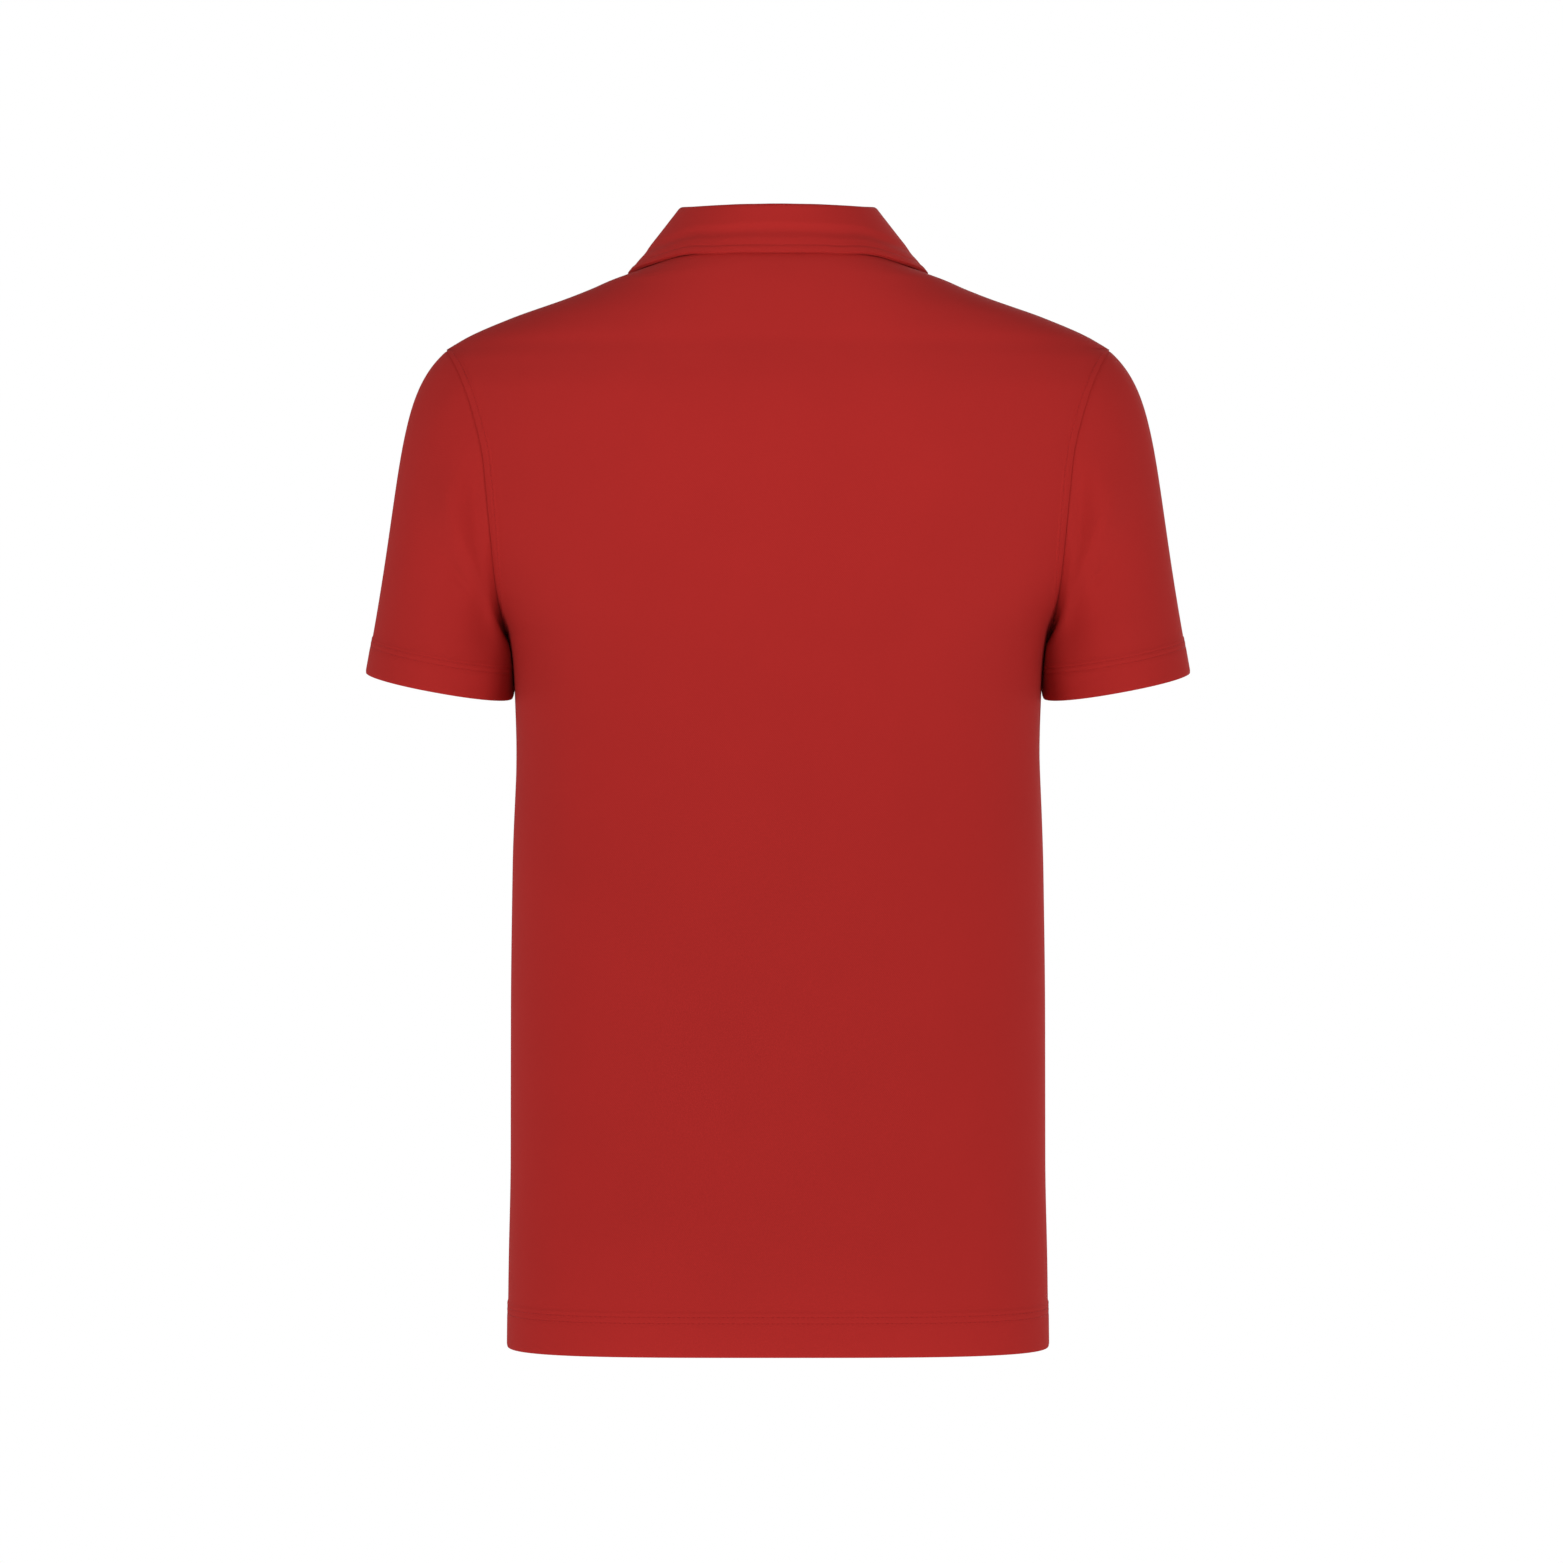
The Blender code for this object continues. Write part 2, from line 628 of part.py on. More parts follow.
def collar(name, material):
    """Stand and fall in one wall, folded over at the top, from one front end to the other."""
    left = half_collar()
    grid = np.concatenate([mirrored(left[:0:-1]), left])
    normals = grid_normals(grid, closed=False) * COLLAR_WALL / 2
    outer, inner = (grid + normals).reshape(-1, 3), (grid - normals).reshape(-1, 3)
    return wall(name, outer, inner, sheet_quads(*grid.shape[:2]), material)


def strip(name, half_width_of_strip, near, drop, material):
    """A placket strip on the front's own section, its outer face at a height near from it."""
    outer, inner = [], []
    rows = range(SLOT_FOOT, NECK_ROW + 1)
    for row in rows:
        level = LEVELS[row] + (SEAM_GAP - drop if row == SLOT_FOOT else 0.0)
        half = section(level, -1, 0.0, half_width_of_strip, STRIP_COLUMNS)
        points = np.concatenate([mirrored(half[:0:-1]), half])
        normals = outward(points, -1)
        outer.extend(points + normals * near)
        inner.extend(points + normals * (near - STRIP_WALL))
    quads = sheet_quads(len(rows), 2 * STRIP_COLUMNS + 1)
    return wall(name, np.array(outer), np.array(inner), quads, material)


def button(name, drop, material):
    """A round button with a raised rim, lying on the top strip."""
    place = section(LEVELS[NECK_ROW] - drop, -1, 0.0, 1.0, 1)[0]
    normal = outward(place, -1)
    mesh = bpy.data.meshes.new(name)
    mesh.from_pydata(
        [(radius * MM, 0, height * MM) for radius, height in BUTTON],
        [(i, i + 1) for i in range(len(BUTTON) - 1)],
        [],
    )
    mesh.materials.append(material)
    thing = bpy.data.objects.new(name, mesh)
    PARTS.objects.link(thing)
    turned = thing.modifiers.new("turned", "SCREW")
    turned.steps = turned.render_steps = BUTTON_SIDES
    turned.use_merge_vertices = True
    turned.merge_threshold = MERGE
    turned.use_smooth_shade = False
    thing.location = (place + normal * (TOP_STRIP_PROUD + SEAM_GAP)) * MM
    thing.rotation_mode = "QUATERNION"
    thing.rotation_quaternion = Vector((0, 0, 1)).rotation_difference(Vector(normal))
    return thing


def finish(name, colour, roughness):
    """A Principled material."""
    material = bpy.data.materials.new(name)
    material.use_nodes = True
    shader = material.node_tree.nodes["Principled BSDF"]
    shader.inputs["Base Color"].default_value = (*colour, 1.0)
    shader.inputs["Roughness"].default_value = roughness
    return material


for old in list(bpy.data.objects):
    bpy.data.objects.remove(old)
PARTS = bpy.data.collections.new("polo_shirt")
bpy.context.scene.collection.children.link(PARTS)
RED_KNIT = finish("red_knit", (0.40, 0.022, 0.020), 0.85)
RED_BUTTON = finish("red_button", (0.33, 0.018, 0.017), 0.35)

panel("back", +1, RED_KNIT)
panel("front", -1, RED_KNIT)
sleeve("sleeve_left", False, RED_KNIT)
sleeve("sleeve_right", True, RED_KNIT)
collar("collar", RED_KNIT)
strip("placket_top", SLOT_HALF_WIDTH - SEAM_GAP, TOP_STRIP_PROUD, 0.0, RED_KNIT)
strip("placket_under", UNDER_STRIP_HALF_WIDTH, -UNDER_STRIP_DEPTH, UNDER_STRIP_DROP, RED_KNIT)
for number, drop in enumerate(BUTTON_DROPS, start=1):
    button(f"button_{number}", drop, RED_BUTTON)
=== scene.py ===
import math

import bpy
import numpy as np
from mathutils import Matrix, Vector, kdtree


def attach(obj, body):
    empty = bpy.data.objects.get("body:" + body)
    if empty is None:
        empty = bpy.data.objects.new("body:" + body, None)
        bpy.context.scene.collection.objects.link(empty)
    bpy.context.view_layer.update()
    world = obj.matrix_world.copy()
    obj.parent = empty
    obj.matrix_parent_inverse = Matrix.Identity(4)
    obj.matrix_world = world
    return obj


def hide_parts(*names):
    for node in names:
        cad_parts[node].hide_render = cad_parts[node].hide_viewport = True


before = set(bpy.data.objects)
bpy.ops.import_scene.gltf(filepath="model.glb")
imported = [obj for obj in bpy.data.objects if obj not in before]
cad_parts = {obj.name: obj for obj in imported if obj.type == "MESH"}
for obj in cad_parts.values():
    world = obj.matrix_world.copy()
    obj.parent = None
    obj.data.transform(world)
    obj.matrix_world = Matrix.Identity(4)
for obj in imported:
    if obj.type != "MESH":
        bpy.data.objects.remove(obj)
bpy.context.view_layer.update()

# The back
# One panel of red cotton knit, cut from the hem to the back of the neck with an armhole at each
# side. Its hem is turned up once and held by two rows of stitches, and the seam allowance of each
# armhole is turned towards it and stitched down. All sizes are millimetres until a mesh is made.

MM = 0.001
WALL, HEM_WALL = 1.6, 2.6
HEM_LEVEL, UNDERARM_LEVEL, SHOULDER_LEVEL = -719.0, -250.0, -59.0
SLOT_FOOT_LEVEL, SLOT_TOP_LEVEL, SLOT_HALF_WIDTH = -214.04, -68.46, 15.0
NECK_HALF_WIDTH, NECK_FRONT = 72.0, 80.0
NAPE, NAPE_RISE, NAPE_HALF_WIDTH, NAPE_REACH = 58.0, 6.0, 90.0, 38.0
HEM_DOUBLED, HEM_FADE, HEM_PROUD, HEM_TURN_IN, HEM_TURN = 29.0, (28.2, 30.5), 0.55, 0.35, (0.0, 1.8)
ARMHOLE_PROUD, ARMHOLE_FADE = 0.6, (5.0, 6.4)

# The general figure under the cloth: a level's section is rounded behind and in front by its own
# power, where 2 is an ellipse and more is squarer.
FIGURE_COLUMNS = ("level", "half_width", "behind", "in_front", "round_behind", "round_front")
FIGURE = (
    (0.0, 72.0, 58.0, 46.0, 2.0, 2.0),
    (-2.0, 78.0, 63.5, 47.4, 3.4, 2.0),
    (-5.0, 87.0, 67.5, 49.5, 3.0, 2.0),
    (-8.6, 98.0, 70.5, 52.0, 2.7, 2.0),
    (-13.8, 113.0, 73.5, 56.5, 2.5, 2.0),
    (-18.9, 125.0, 76.0, 59.5, 2.35, 2.0),
    (-24.7, 140.0, 78.5, 63.0, 2.25, 2.0),
    (-38.5, 179.5, 83.5, 69.5, 2.1, 2.0),
    (-52.0, 210.0, 88.0, 73.5, 2.03, 2.0),
    (-59.0, 220.5, 90.0, 75.7, 2.0, 2.0),
    (-68.0, 231.5, 93.5, 78.6, 2.0, 2.0),
    (-88.0, 243.0, 100.0, 86.5, 2.05, 2.05),
    (-116.0, 246.0, 105.5, 97.5, 2.1, 2.1),
    (-156.0, 235.0, 110.0, 108.0, 2.2, 2.2),
    (-205.0, 206.0, 112.5, 115.5, 2.4, 2.4),
    (-250.0, 180.0, 113.0, 118.0, 2.55, 2.5),
    (-268.0, 177.0, 112.8, 118.3, 2.6, 2.55),
    (-290.0, 175.5, 112.5, 118.5, 2.65, 2.6),
    (-326.0, 174.5, 111.5, 118.0, 2.75, 2.7),
    (-406.0, 176.5, 109.0, 116.0, 2.9, 2.8),
    (-506.0, 177.5, 108.0, 114.0, 3.1, 3.0),
    (-596.0, 177.5, 109.0, 113.0, 3.3, 3.15),
    (-666.0, 178.7, 110.0, 112.5, 3.5, 3.3),
    (-719.0, 179.3, 110.5, 112.0, 3.6, 3.4),
)
ARMHOLE_COLUMNS = ("level", "behind", "in_front")
ARMHOLE = (
    (-59.0, 220.5, 220.5),
    (-70.0, 213.5, 212.5),
    (-85.0, 206.5, 204.0),
    (-109.0, 198.5, 194.5),
    (-133.0, 193.0, 188.0),
    (-156.0, 190.5, 184.5),
    (-181.0, 188.3, 182.5),
    (-205.0, 186.3, 181.5),
    (-228.0, 184.0, 181.0),
    (-243.0, 181.5, 180.5),
    (-250.0, 180.0, 180.0),
)


def smooth_curve(places, values):
    """A curve through the points that never swings past them."""
    order = np.argsort(places)
    x, y = np.asarray(places, float)[order], np.asarray(values, float)[order]
    step = np.diff(x)
    slope = np.diff(y) / step
    bend = np.zeros(len(x))
    bend[0], bend[-1] = slope[0], slope[-1]
    for i in range(1, len(x) - 1):
        if slope[i - 1] * slope[i] > 0:
            left, right = 2 * step[i] + step[i - 1], step[i] + 2 * step[i - 1]
            bend[i] = (left + right) / (left / slope[i - 1] + right / slope[i])

    def at(place):
        place = np.clip(place, x[0], x[-1])
        i = np.clip(np.searchsorted(x, place) - 1, 0, len(x) - 2)
        t = (place - x[i]) / step[i]
        return (
            (1 + 2 * t) * (1 - t) ** 2 * y[i]
            + t * (1 - t) ** 2 * step[i] * bend[i]
            + t * t * (3 - 2 * t) * y[i + 1]
            - t * t * (1 - t) * step[i] * bend[i + 1]
        )

    return at


def curves_of(table, names):
    """The columns of a table by name, each as a smooth curve over the first one."""
    columns = np.array(table, float).T
    return {name: smooth_curve(columns[0], column) for name, column in zip(names[1:], columns[1:])}


figure, armhole = curves_of(FIGURE, FIGURE_COLUMNS), curves_of(ARMHOLE, ARMHOLE_COLUMNS)
half_width = figure["half_width"]
DEPTH = {+1: figure["behind"], -1: figure["in_front"]}
POWER = {+1: figure["round_behind"], -1: figure["round_front"]}
ARMHOLE_EDGE = {+1: armhole["behind"], -1: armhole["in_front"]}


def unit(vectors):
    """Vectors of length 1."""
    vectors = np.asarray(vectors, float)
    return vectors / np.maximum(np.linalg.norm(vectors, axis=-1, keepdims=True), 1e-9)


def lengths(line):
    """How far along a line of points each of them lies."""
    return np.concatenate([[0], np.cumsum(np.linalg.norm(np.diff(line, axis=0), axis=1))])


def at_lengths(at, along, values):
    """Values given at lengths along a line, read at other lengths."""
    return np.stack([np.interp(at, along, values[:, i]) for i in range(3)], 1)


def swell(share):
    """1 in the middle of a rise and 0 from its edge on, with no corner anywhere."""
    return (1 - np.clip(share, -1, 1) ** 2) ** 2


def ramp(place, low, high):
    """0 below low, 1 above high and smooth between."""
    share = np.clip((np.asarray(place, float) - low) / (high - low), 0, 1)
    return share * share * (3 - 2 * share)


def nape(x, y):
    """How much higher the back lies near the neck than its level alone says."""
    return NAPE_RISE * swell(x / NAPE_HALF_WIDTH) * swell((y - NAPE) / NAPE_REACH)


def section(level, side, from_x, to_x, places=None, fine=700):
    """Points along the figure's section from one x to another, at distances given as a function."""
    width, depth, power = half_width(level), DEPTH[side](level), POWER[side](level)
    ends = [math.acos(min(1.0, x / width) ** (power / 2)) for x in (from_x, to_x)]
    turn = ends[0] + (ends[1] - ends[0]) * (1 - np.cos(np.linspace(0, math.pi, fine))) / 2
    x = width * np.cos(turn) ** (2 / power)
    y = side * depth * np.sin(turn) ** (2 / power)
    x[0], x[-1] = from_x, to_x
    along = np.concatenate([[0], np.cumsum(np.hypot(np.diff(x), np.diff(y)))])
    at = along[-1:] if places is None else places(along[-1])
    x, y = np.interp(at, along, x), np.interp(at, along, y)
    return np.stack([x, y, level + nape(x, y)], 1)


def outside(points, side):
    """How far outside the figure each point is, as a number that is 0 on it."""
    x, y, z = np.moveaxis(np.asarray(points, float), -1, 0)
    z = z - nape(x, y)
    power = POWER[side](z)
    return (np.abs(x) / half_width(z)) ** power + (np.abs(y) / DEPTH[side](z)) ** power - 1


def slopes(points, side, step=0.02):
    """How fast outside() grows along X, Y and Z at each point."""
    steps = step * np.eye(3)
    rises = [outside(points + one, side) - outside(points - one, side) for one in steps]
    return np.stack(rises, -1) / (2 * step)


def crossing(low, high, beyond):
    """The place between two from which on something is beyond what it is tested for."""
    for _ in range(40):
        middle = (low + high) / 2
        low, high = (low, middle) if beyond(middle) else (middle, high)
    return (low + high) / 2


def body_height(x, y):
    """The level at which the upper body lies under a point seen from above."""
    side = +1 if y >= 0 else -1
    return crossing(UNDERARM_LEVEL, NAPE_RISE, lambda z: outside((x, y, z), side) > 0)


def neckline_x(level):
    """Where the front's section at a level crosses the neck opening."""
    width, depth, power = half_width(level), DEPTH[-1](level), POWER[-1](level)

    def past_neck(x):
        body = depth * (1 - (x / width) ** power) ** (1 / power)
        return body >= NECK_FRONT * math.sqrt(1 - (x / NECK_HALF_WIDTH) ** 2)

    return crossing(0.0, NECK_HALF_WIDTH, past_neck)


HEM_ROWS = (
    0, 0.7, 1.6, 3, 5, 8, 12, 16, 19.6, 21, 22, 23, 24, 25, 26, 27, 28, 28.6, 29.2, 30, 31, 33, 36
)
SPAN_ENDS = (
    HEM_LEVEL + 36, UNDERARM_LEVEL, SLOT_FOOT_LEVEL, -92.0, SLOT_TOP_LEVEL, SHOULDER_LEVEL
)
SPAN_ROWS = (92, 9, 27, 10, 6)
NECK_ROWS = (-30.0, -25.0, -20.0, -15.0, -11.0, -8.0, -5.0, -2.0)
LEAST_ROW_GAP = 0.12


def panel_levels():
    """Levels of the panel's rows: close in the hem, at the slot's ends and round the neck."""
    levels = [HEM_LEVEL + up for up in HEM_ROWS]
    for low, high, count in zip(SPAN_ENDS, SPAN_ENDS[1:], SPAN_ROWS):
        levels.extend(np.linspace(low, high, count)[1:])
    fine = np.linspace(SHOULDER_LEVEL, 0, 900)
    widths = np.linspace(float(half_width(SHOULDER_LEVEL)), NECK_HALF_WIDTH, 36)
    shoulder = np.interp(-widths, -half_width(fine), fine)[1:-1]
    across = [NECK_HALF_WIDTH * math.sqrt(1 - (y / NECK_FRONT) ** 2) for y in NECK_ROWS]
    neck = [body_height(x, y) for x, y in zip(across, NECK_ROWS)]
    top = sorted([*shoulder, *neck, 0.0])
    kept = [top[0]]
    for level in top[1:]:
        if level - kept[-1] > LEAST_ROW_GAP:
            kept.append(level)
    kept[-1] = 0.0
    return np.array(levels + kept)


LEVELS = panel_levels()
FROM_EDGE = (9.5, 8.0, 6.8, 6.0, 5.4, 4.8, 4.2, 3.4, 2.6, 1.9, 1.3, 0.8, 0.4, 0.0)
STITCHED_FROM_EDGE = 4.8
EVEN_COLUMNS, SHORT_ROW = 42, 30.0
STRIP_PLACES = (0.0, 5.0, 10.0, 13.0)
TOP_STITCH_COLUMN = -1 - FROM_EDGE[::-1].index(STITCHED_FROM_EDGE)
HEM_STITCH_HEIGHTS = (22.0, 26.0)


def edge_x(level, side):
    """The x of a panel's outer edge: side seam, then armhole, then shoulder seam."""
    if UNDERARM_LEVEL < level < SHOULDER_LEVEL:
        return float(ARMHOLE_EDGE[side](level))
    return float(half_width(level))


def row_places(length):
    """Distances along a row: even ones, then close ones beside the seam."""
    close = length - np.array(FROM_EDGE) * min(1.0, length / SHORT_ROW)
    return np.concatenate([np.linspace(0, close[0], EVEN_COLUMNS, endpoint=False), close])


def both_halves(left):
    """A row of points from the middle to the left, with its mirror image before it."""
    return np.concatenate([left[:0:-1] * (-1, 1, 1), left])


def panel_rows(side):
    """Points of a whole panel, row by row, each from the wearer's right to the left."""
    rows = []
    for level in LEVELS:
        open_neck = side < 0 and level > SLOT_TOP_LEVEL + 0.01
        start = neckline_x(level) if open_neck else SLOT_HALF_WIDTH
        end = edge_x(level, side)
        rest = section(level, side, min(start, end - 1e-6), end, row_places)
        middle = section(level, side, 0.0, 16.0, lambda length: np.array(STRIP_PLACES))
        rows.append(both_halves(np.concatenate([middle, rest])))
    return np.array(rows)


def grid_normals(grid, closed=False):
    """Directions square to a grid of rows and columns; a closed grid's columns run round."""
    along = np.gradient(grid, axis=0)
    if closed:
        across = np.roll(grid, -1, axis=1) - np.roll(grid, 1, axis=1)
    else:
        across = np.gradient(grid, axis=1)
    return unit(np.cross(across, along))


def edge_line(levels, side):
    """The points of a panel's left edge at some levels."""
    return np.array([section(z, side, 0.0, edge_x(z, side), fine=60)[-1] for z in levels])


def seam_line(levels, side, step=0.6):
    """A fine line of even points along the left edge of a panel between two levels."""
    line = edge_line(np.linspace(*levels, 500), side)
    along = lengths(line)
    return at_lengths(np.arange(0, along[-1] + step, step), along, line)


def distance_to(points, line):
    """How far each point is from the nearest point of a line, both sides of the body alike."""
    tree = kdtree.KDTree(len(line))
    for i, place in enumerate(line):
        tree.insert(place, i)
    tree.balance()
    flat = points.reshape(-1, 3).copy()
    flat[:, 0] = np.abs(flat[:, 0])
    found = [tree.find(place)[2] for place in flat]
    return np.array(found).reshape(points.shape[:-1])


def pinch(distance, depth=0.4, reach=1.8):
    """How far the cloth dips into a seam, by its distance from it."""
    return depth * np.clip(1 - distance / reach, 0, 1) ** 2


def stitch_dip(distance, depth=0.28, reach=1.5):
    """The small trough that a row of stitches pulls in the cloth."""
    return depth * swell(distance / reach)


def hemmed(height, fade, rows):
    """How far a hem stands out at a height over its edge, with a trough at each row of stitches."""
    stand = HEM_PROUD * (1 - ramp(height, *fade)) - HEM_TURN_IN * (1 - ramp(height, *HEM_TURN))
    return stand - sum(stitch_dip(height - row) for row in rows)


def folded(x, z, folds):
    """How far soft folds stand out: each a ridge or trough with its own lean and reach."""
    out = np.zeros(np.broadcast(x, z).shape)
    for at_x, at_z, reach_across, reach_along, lean, depth in folds:
        turn = math.radians(lean)
        across = (x - at_x) * math.cos(turn) + (z - at_z) * math.sin(turn)
        along = -(x - at_x) * math.sin(turn) + (z - at_z) * math.cos(turn)
        out += depth * swell(across / reach_across) * swell(along / reach_along)
    return out


def added(primitive, **sizes):
    """A primitive added with nothing else selected."""
    bpy.ops.object.select_all(action="DESELECT")
    primitive(**sizes)
    return bpy.context.object


def cloth_grid(name, points, uv):
    """A flat grid of cloth with a point for each place of its worn form, moved there."""
    rows, columns = points.shape[:2]
    grid = bpy.ops.mesh.primitive_grid_add
    piece = added(grid, x_subdivisions=columns - 1, y_subdivisions=rows - 1, size=1)
    piece.name = piece.data.name = name
    mesh = piece.data
    mesh.vertices.foreach_set("co", (points * MM).ravel())
    corner = np.empty(len(mesh.loops), dtype=np.int32)
    mesh.loops.foreach_get("vertex_index", corner)
    mesh.uv_layers[0].name = "cloth"
    mesh.uv_layers[0].uv.foreach_set("vector", (uv.reshape(-1, 2)[corner] * MM).ravel())
    mesh.update()
    return piece


def cut_out(piece, gone):
    """Deletes the faces of a piece's mesh that are marked."""
    bpy.ops.object.mode_set(mode="EDIT")
    bpy.ops.mesh.select_mode(type="FACE")
    bpy.ops.mesh.select_all(action="DESELECT")
    bpy.ops.object.mode_set(mode="OBJECT")
    piece.data.polygons.foreach_set("select", gone)
    bpy.ops.object.mode_set(mode="EDIT")
    bpy.ops.mesh.delete(type="FACE")
    bpy.ops.object.mode_set(mode="OBJECT")


def merge_points(distance=0.004):
    """Joins the points of the piece in work that lie on each other."""
    bpy.ops.object.mode_set(mode="EDIT")
    bpy.ops.mesh.select_all(action="SELECT")
    bpy.ops.mesh.remove_doubles(threshold=distance * MM)
    bpy.ops.object.mode_set(mode="OBJECT")


ROUNDED_FROM, CREASED_FROM = math.radians(55), math.radians(50)


def give_wall(piece, thick, thin=None, layers=None, offset=-1.0, round_edge=0.45):
    """Gives cloth its thickness, thinner where its layers say so, and rounds the cut edges."""
    wall = piece.modifiers.new("wall", "SOLIDIFY")
    wall.thickness, wall.offset = thick * MM, offset
    if layers is not None:
        group = piece.vertex_groups.new(name="layers")
        layers = np.round(layers, 2)
        for weight in np.unique(layers):
            group.add(np.flatnonzero(layers == weight).tolist(), float(weight), "REPLACE")
        wall.vertex_group, wall.thickness_vertex_group = "layers", thin / thick
    bpy.ops.object.modifier_apply(modifier="wall")
    edge = piece.modifiers.new("edge", "BEVEL")
    edge.width, edge.segments, edge.limit_method = round_edge * MM, 2, "ANGLE"
    edge.angle_limit = ROUNDED_FROM
    bpy.ops.object.modifier_apply(modifier="edge")
    piece.vertex_groups.clear()
    bpy.ops.object.shade_smooth_by_angle(angle=CREASED_FROM)


class Socket:
    """A number, colour or direction between a material's nodes, worked with as written maths."""

    def __init__(self, tree, socket=None):
        self.tree, self.socket = tree, socket

    def node(self, kind, settings, values, output=0):
        """A node of a kind, its settings made first, then the values or links of its sockets."""
        made = self.tree.nodes.new("ShaderNode" + kind)
        for name, value in settings.items():
            setattr(made, name, value)
        for place, value in values.items():
            if isinstance(value, Socket):
                self.tree.links.new(value.socket, made.inputs[place])
            else:
                made.inputs[place].default_value = value
        return Socket(self.tree, made.outputs[output])

    def maths(self, operation, *values):
        return self.node("Math", {"operation": operation}, dict(enumerate(values)))

    def __add__(self, other):
        return self.maths("ADD", self, other)

    __radd__ = __add__

    def __sub__(self, other):
        return self.maths("SUBTRACT", self, other)

    def __rsub__(self, other):
        return self.maths("SUBTRACT", other, self)

    def __mul__(self, other):
        return self.maths("MULTIPLY", self, other)

    __rmul__ = __mul__

    def sine(self):
        return self.maths("SINE", self)

    def spread(self, low, high, to_low=0.0, to_high=1.0):
        """This number moved smoothly from one range to another."""
        ends = {0: self, 1: low, 2: high, 3: to_low, 4: to_high}
        return self.node("MapRange", {"interpolation_type": "SMOOTHSTEP"}, ends)

    def noise(self, scale, detail=2.0):
        """Soft random grain over this direction, around a half."""
        return self.node("TexNoise", {}, {"Vector": self, "Scale": scale, "Detail": detail})

    def between(self, first, second):
        """A colour mixed from two by this number."""
        return self.node("Mix", {"data_type": "RGBA"}, {0: self, 6: first, 7: second}, output=2)

    def toned(self, colour, darkest, lightest):
        """A colour that goes from its darkest to its lightest tone with this number."""
        dark, light = ([part * tone for part in colour] for tone in (darkest, lightest))
        return self.between((*dark, 1.0), (*light, 1.0))

    def into(self, shader, place):
        """Feeds this to an input of a shader."""
        self.tree.links.new(self.socket, shader.inputs[place])


def new_material(name):
    """An empty material, its Principled shader and the place of each point on the piece."""
    material = bpy.data.materials.new(name)
    material.use_nodes = True
    shader = material.node_tree.nodes["Principled BSDF"]
    place = Socket(material.node_tree).node("TexCoord", {}, {}, output="Object")
    return material, shader, place


def surface(shader, colour, roughness, height, relief):
    """Gives a shader its colour and roughness, and a relief as deep as said in millimetres."""
    bump = height.node("Bump", {}, {"Height": height, "Distance": relief * MM, "Strength": 1.0})
    colour.into(shader, "Base Color")
    roughness.into(shader, "Roughness")
    bump.into(shader, "Normal")


def knit(name, colour, wale, course, relief):
    """Piqué cotton: rows of small raised cells, each set half a cell aside from the row below."""
    material, shader, place = new_material(name)
    flat = place.node("UVMap", {"uv_map": "cloth"}, {})
    across, up = (flat.node("SeparateXYZ", {}, {0: flat}, output=i) for i in (0, 1))
    across, up = across * (math.tau / (wale * MM)), up * (math.tau / (course * MM))
    cells, wales = across.sine() * up.sine(), (across * 2.0).sine()
    grain, yarn = flat.noise(2600.0), flat.noise(900.0)
    height = cells * 0.5 + wales * 0.14 + (grain - 0.5) * 0.7
    # The knit's colour: random mottling of the cloth and its yarn, plus painted shade, since height
    # * 0.12 makes the tops of the raised cells lighter and the hollows between them darker
    shade = (place.noise(18.0) - 0.5) * 0.25 + (yarn - 0.5) * 0.5 + height * 0.12 + 0.5
    shade = shade.spread(0.0, 1.0).toned(colour, 0.90, 1.08)
    surface(shader, shade, (yarn - 0.5) * 0.2 + 0.88, height, relief)
    shader.inputs["Specular IOR Level"].default_value = 0.08
    shader.inputs["Sheen Weight"].default_value = 0.03
    shader.inputs["Sheen Roughness"].default_value = 0.6
    shader.inputs["Sheen Tint"].default_value = (1.0, 0.3, 0.26, 1.0)
    return material


RED = (0.40, 0.0200, 0.0176)
KNIT = knit("red_pique", RED, wale=1.25, course=1.05, relief=0.045)

SIDE_SEAM = {side: seam_line((HEM_LEVEL, UNDERARM_LEVEL), side) for side in (+1, -1)}
ARMHOLE_SEAM = {side: seam_line((UNDERARM_LEVEL, SHOULDER_LEVEL), side) for side in (+1, -1)}
SHOULDER_SEAM = seam_line((SHOULDER_LEVEL, -0.5), +1)

BACK_FOLDS = (
    # x, z, reach across, reach along, lean, how far it stands out
    (-168.0, -300.0, 26.0, 120.0, 14.0, -1.1),
    (166.0, -322.0, 24.0, 105.0, -11.0, -1.0),
    (-60.0, -655.0, 90.0, 46.0, 12.0, 0.7),
    (74.0, -640.0, 80.0, 38.0, -9.0, 0.6),
    (12.0, -560.0, 130.0, 60.0, 3.0, -0.6),
)


def worn_panel(side, folds):
    """A whole panel's points with its hem, seams and folds, and the directions out of it."""
    whole = panel_rows(side)
    normals = unit(slopes(whole, side))
    arm, closed = distance_to(whole, ARMHOLE_SEAM[side]), distance_to(whole, SIDE_SEAM[side])
    closed = np.minimum(closed, distance_to(whole, SHOULDER_SEAM))
    stand = hemmed((LEVELS - HEM_LEVEL)[:, None], HEM_FADE, HEM_STITCH_HEIGHTS)
    stand = stand + ARMHOLE_PROUD * (1 - ramp(arm, *ARMHOLE_FADE))
    stand = stand - stitch_dip(arm - STITCHED_FROM_EDGE) - pinch(closed)
    stand = stand + folded(whole[..., 0], whole[..., 2], folds)
    return whole + normals * stand[..., None], normals


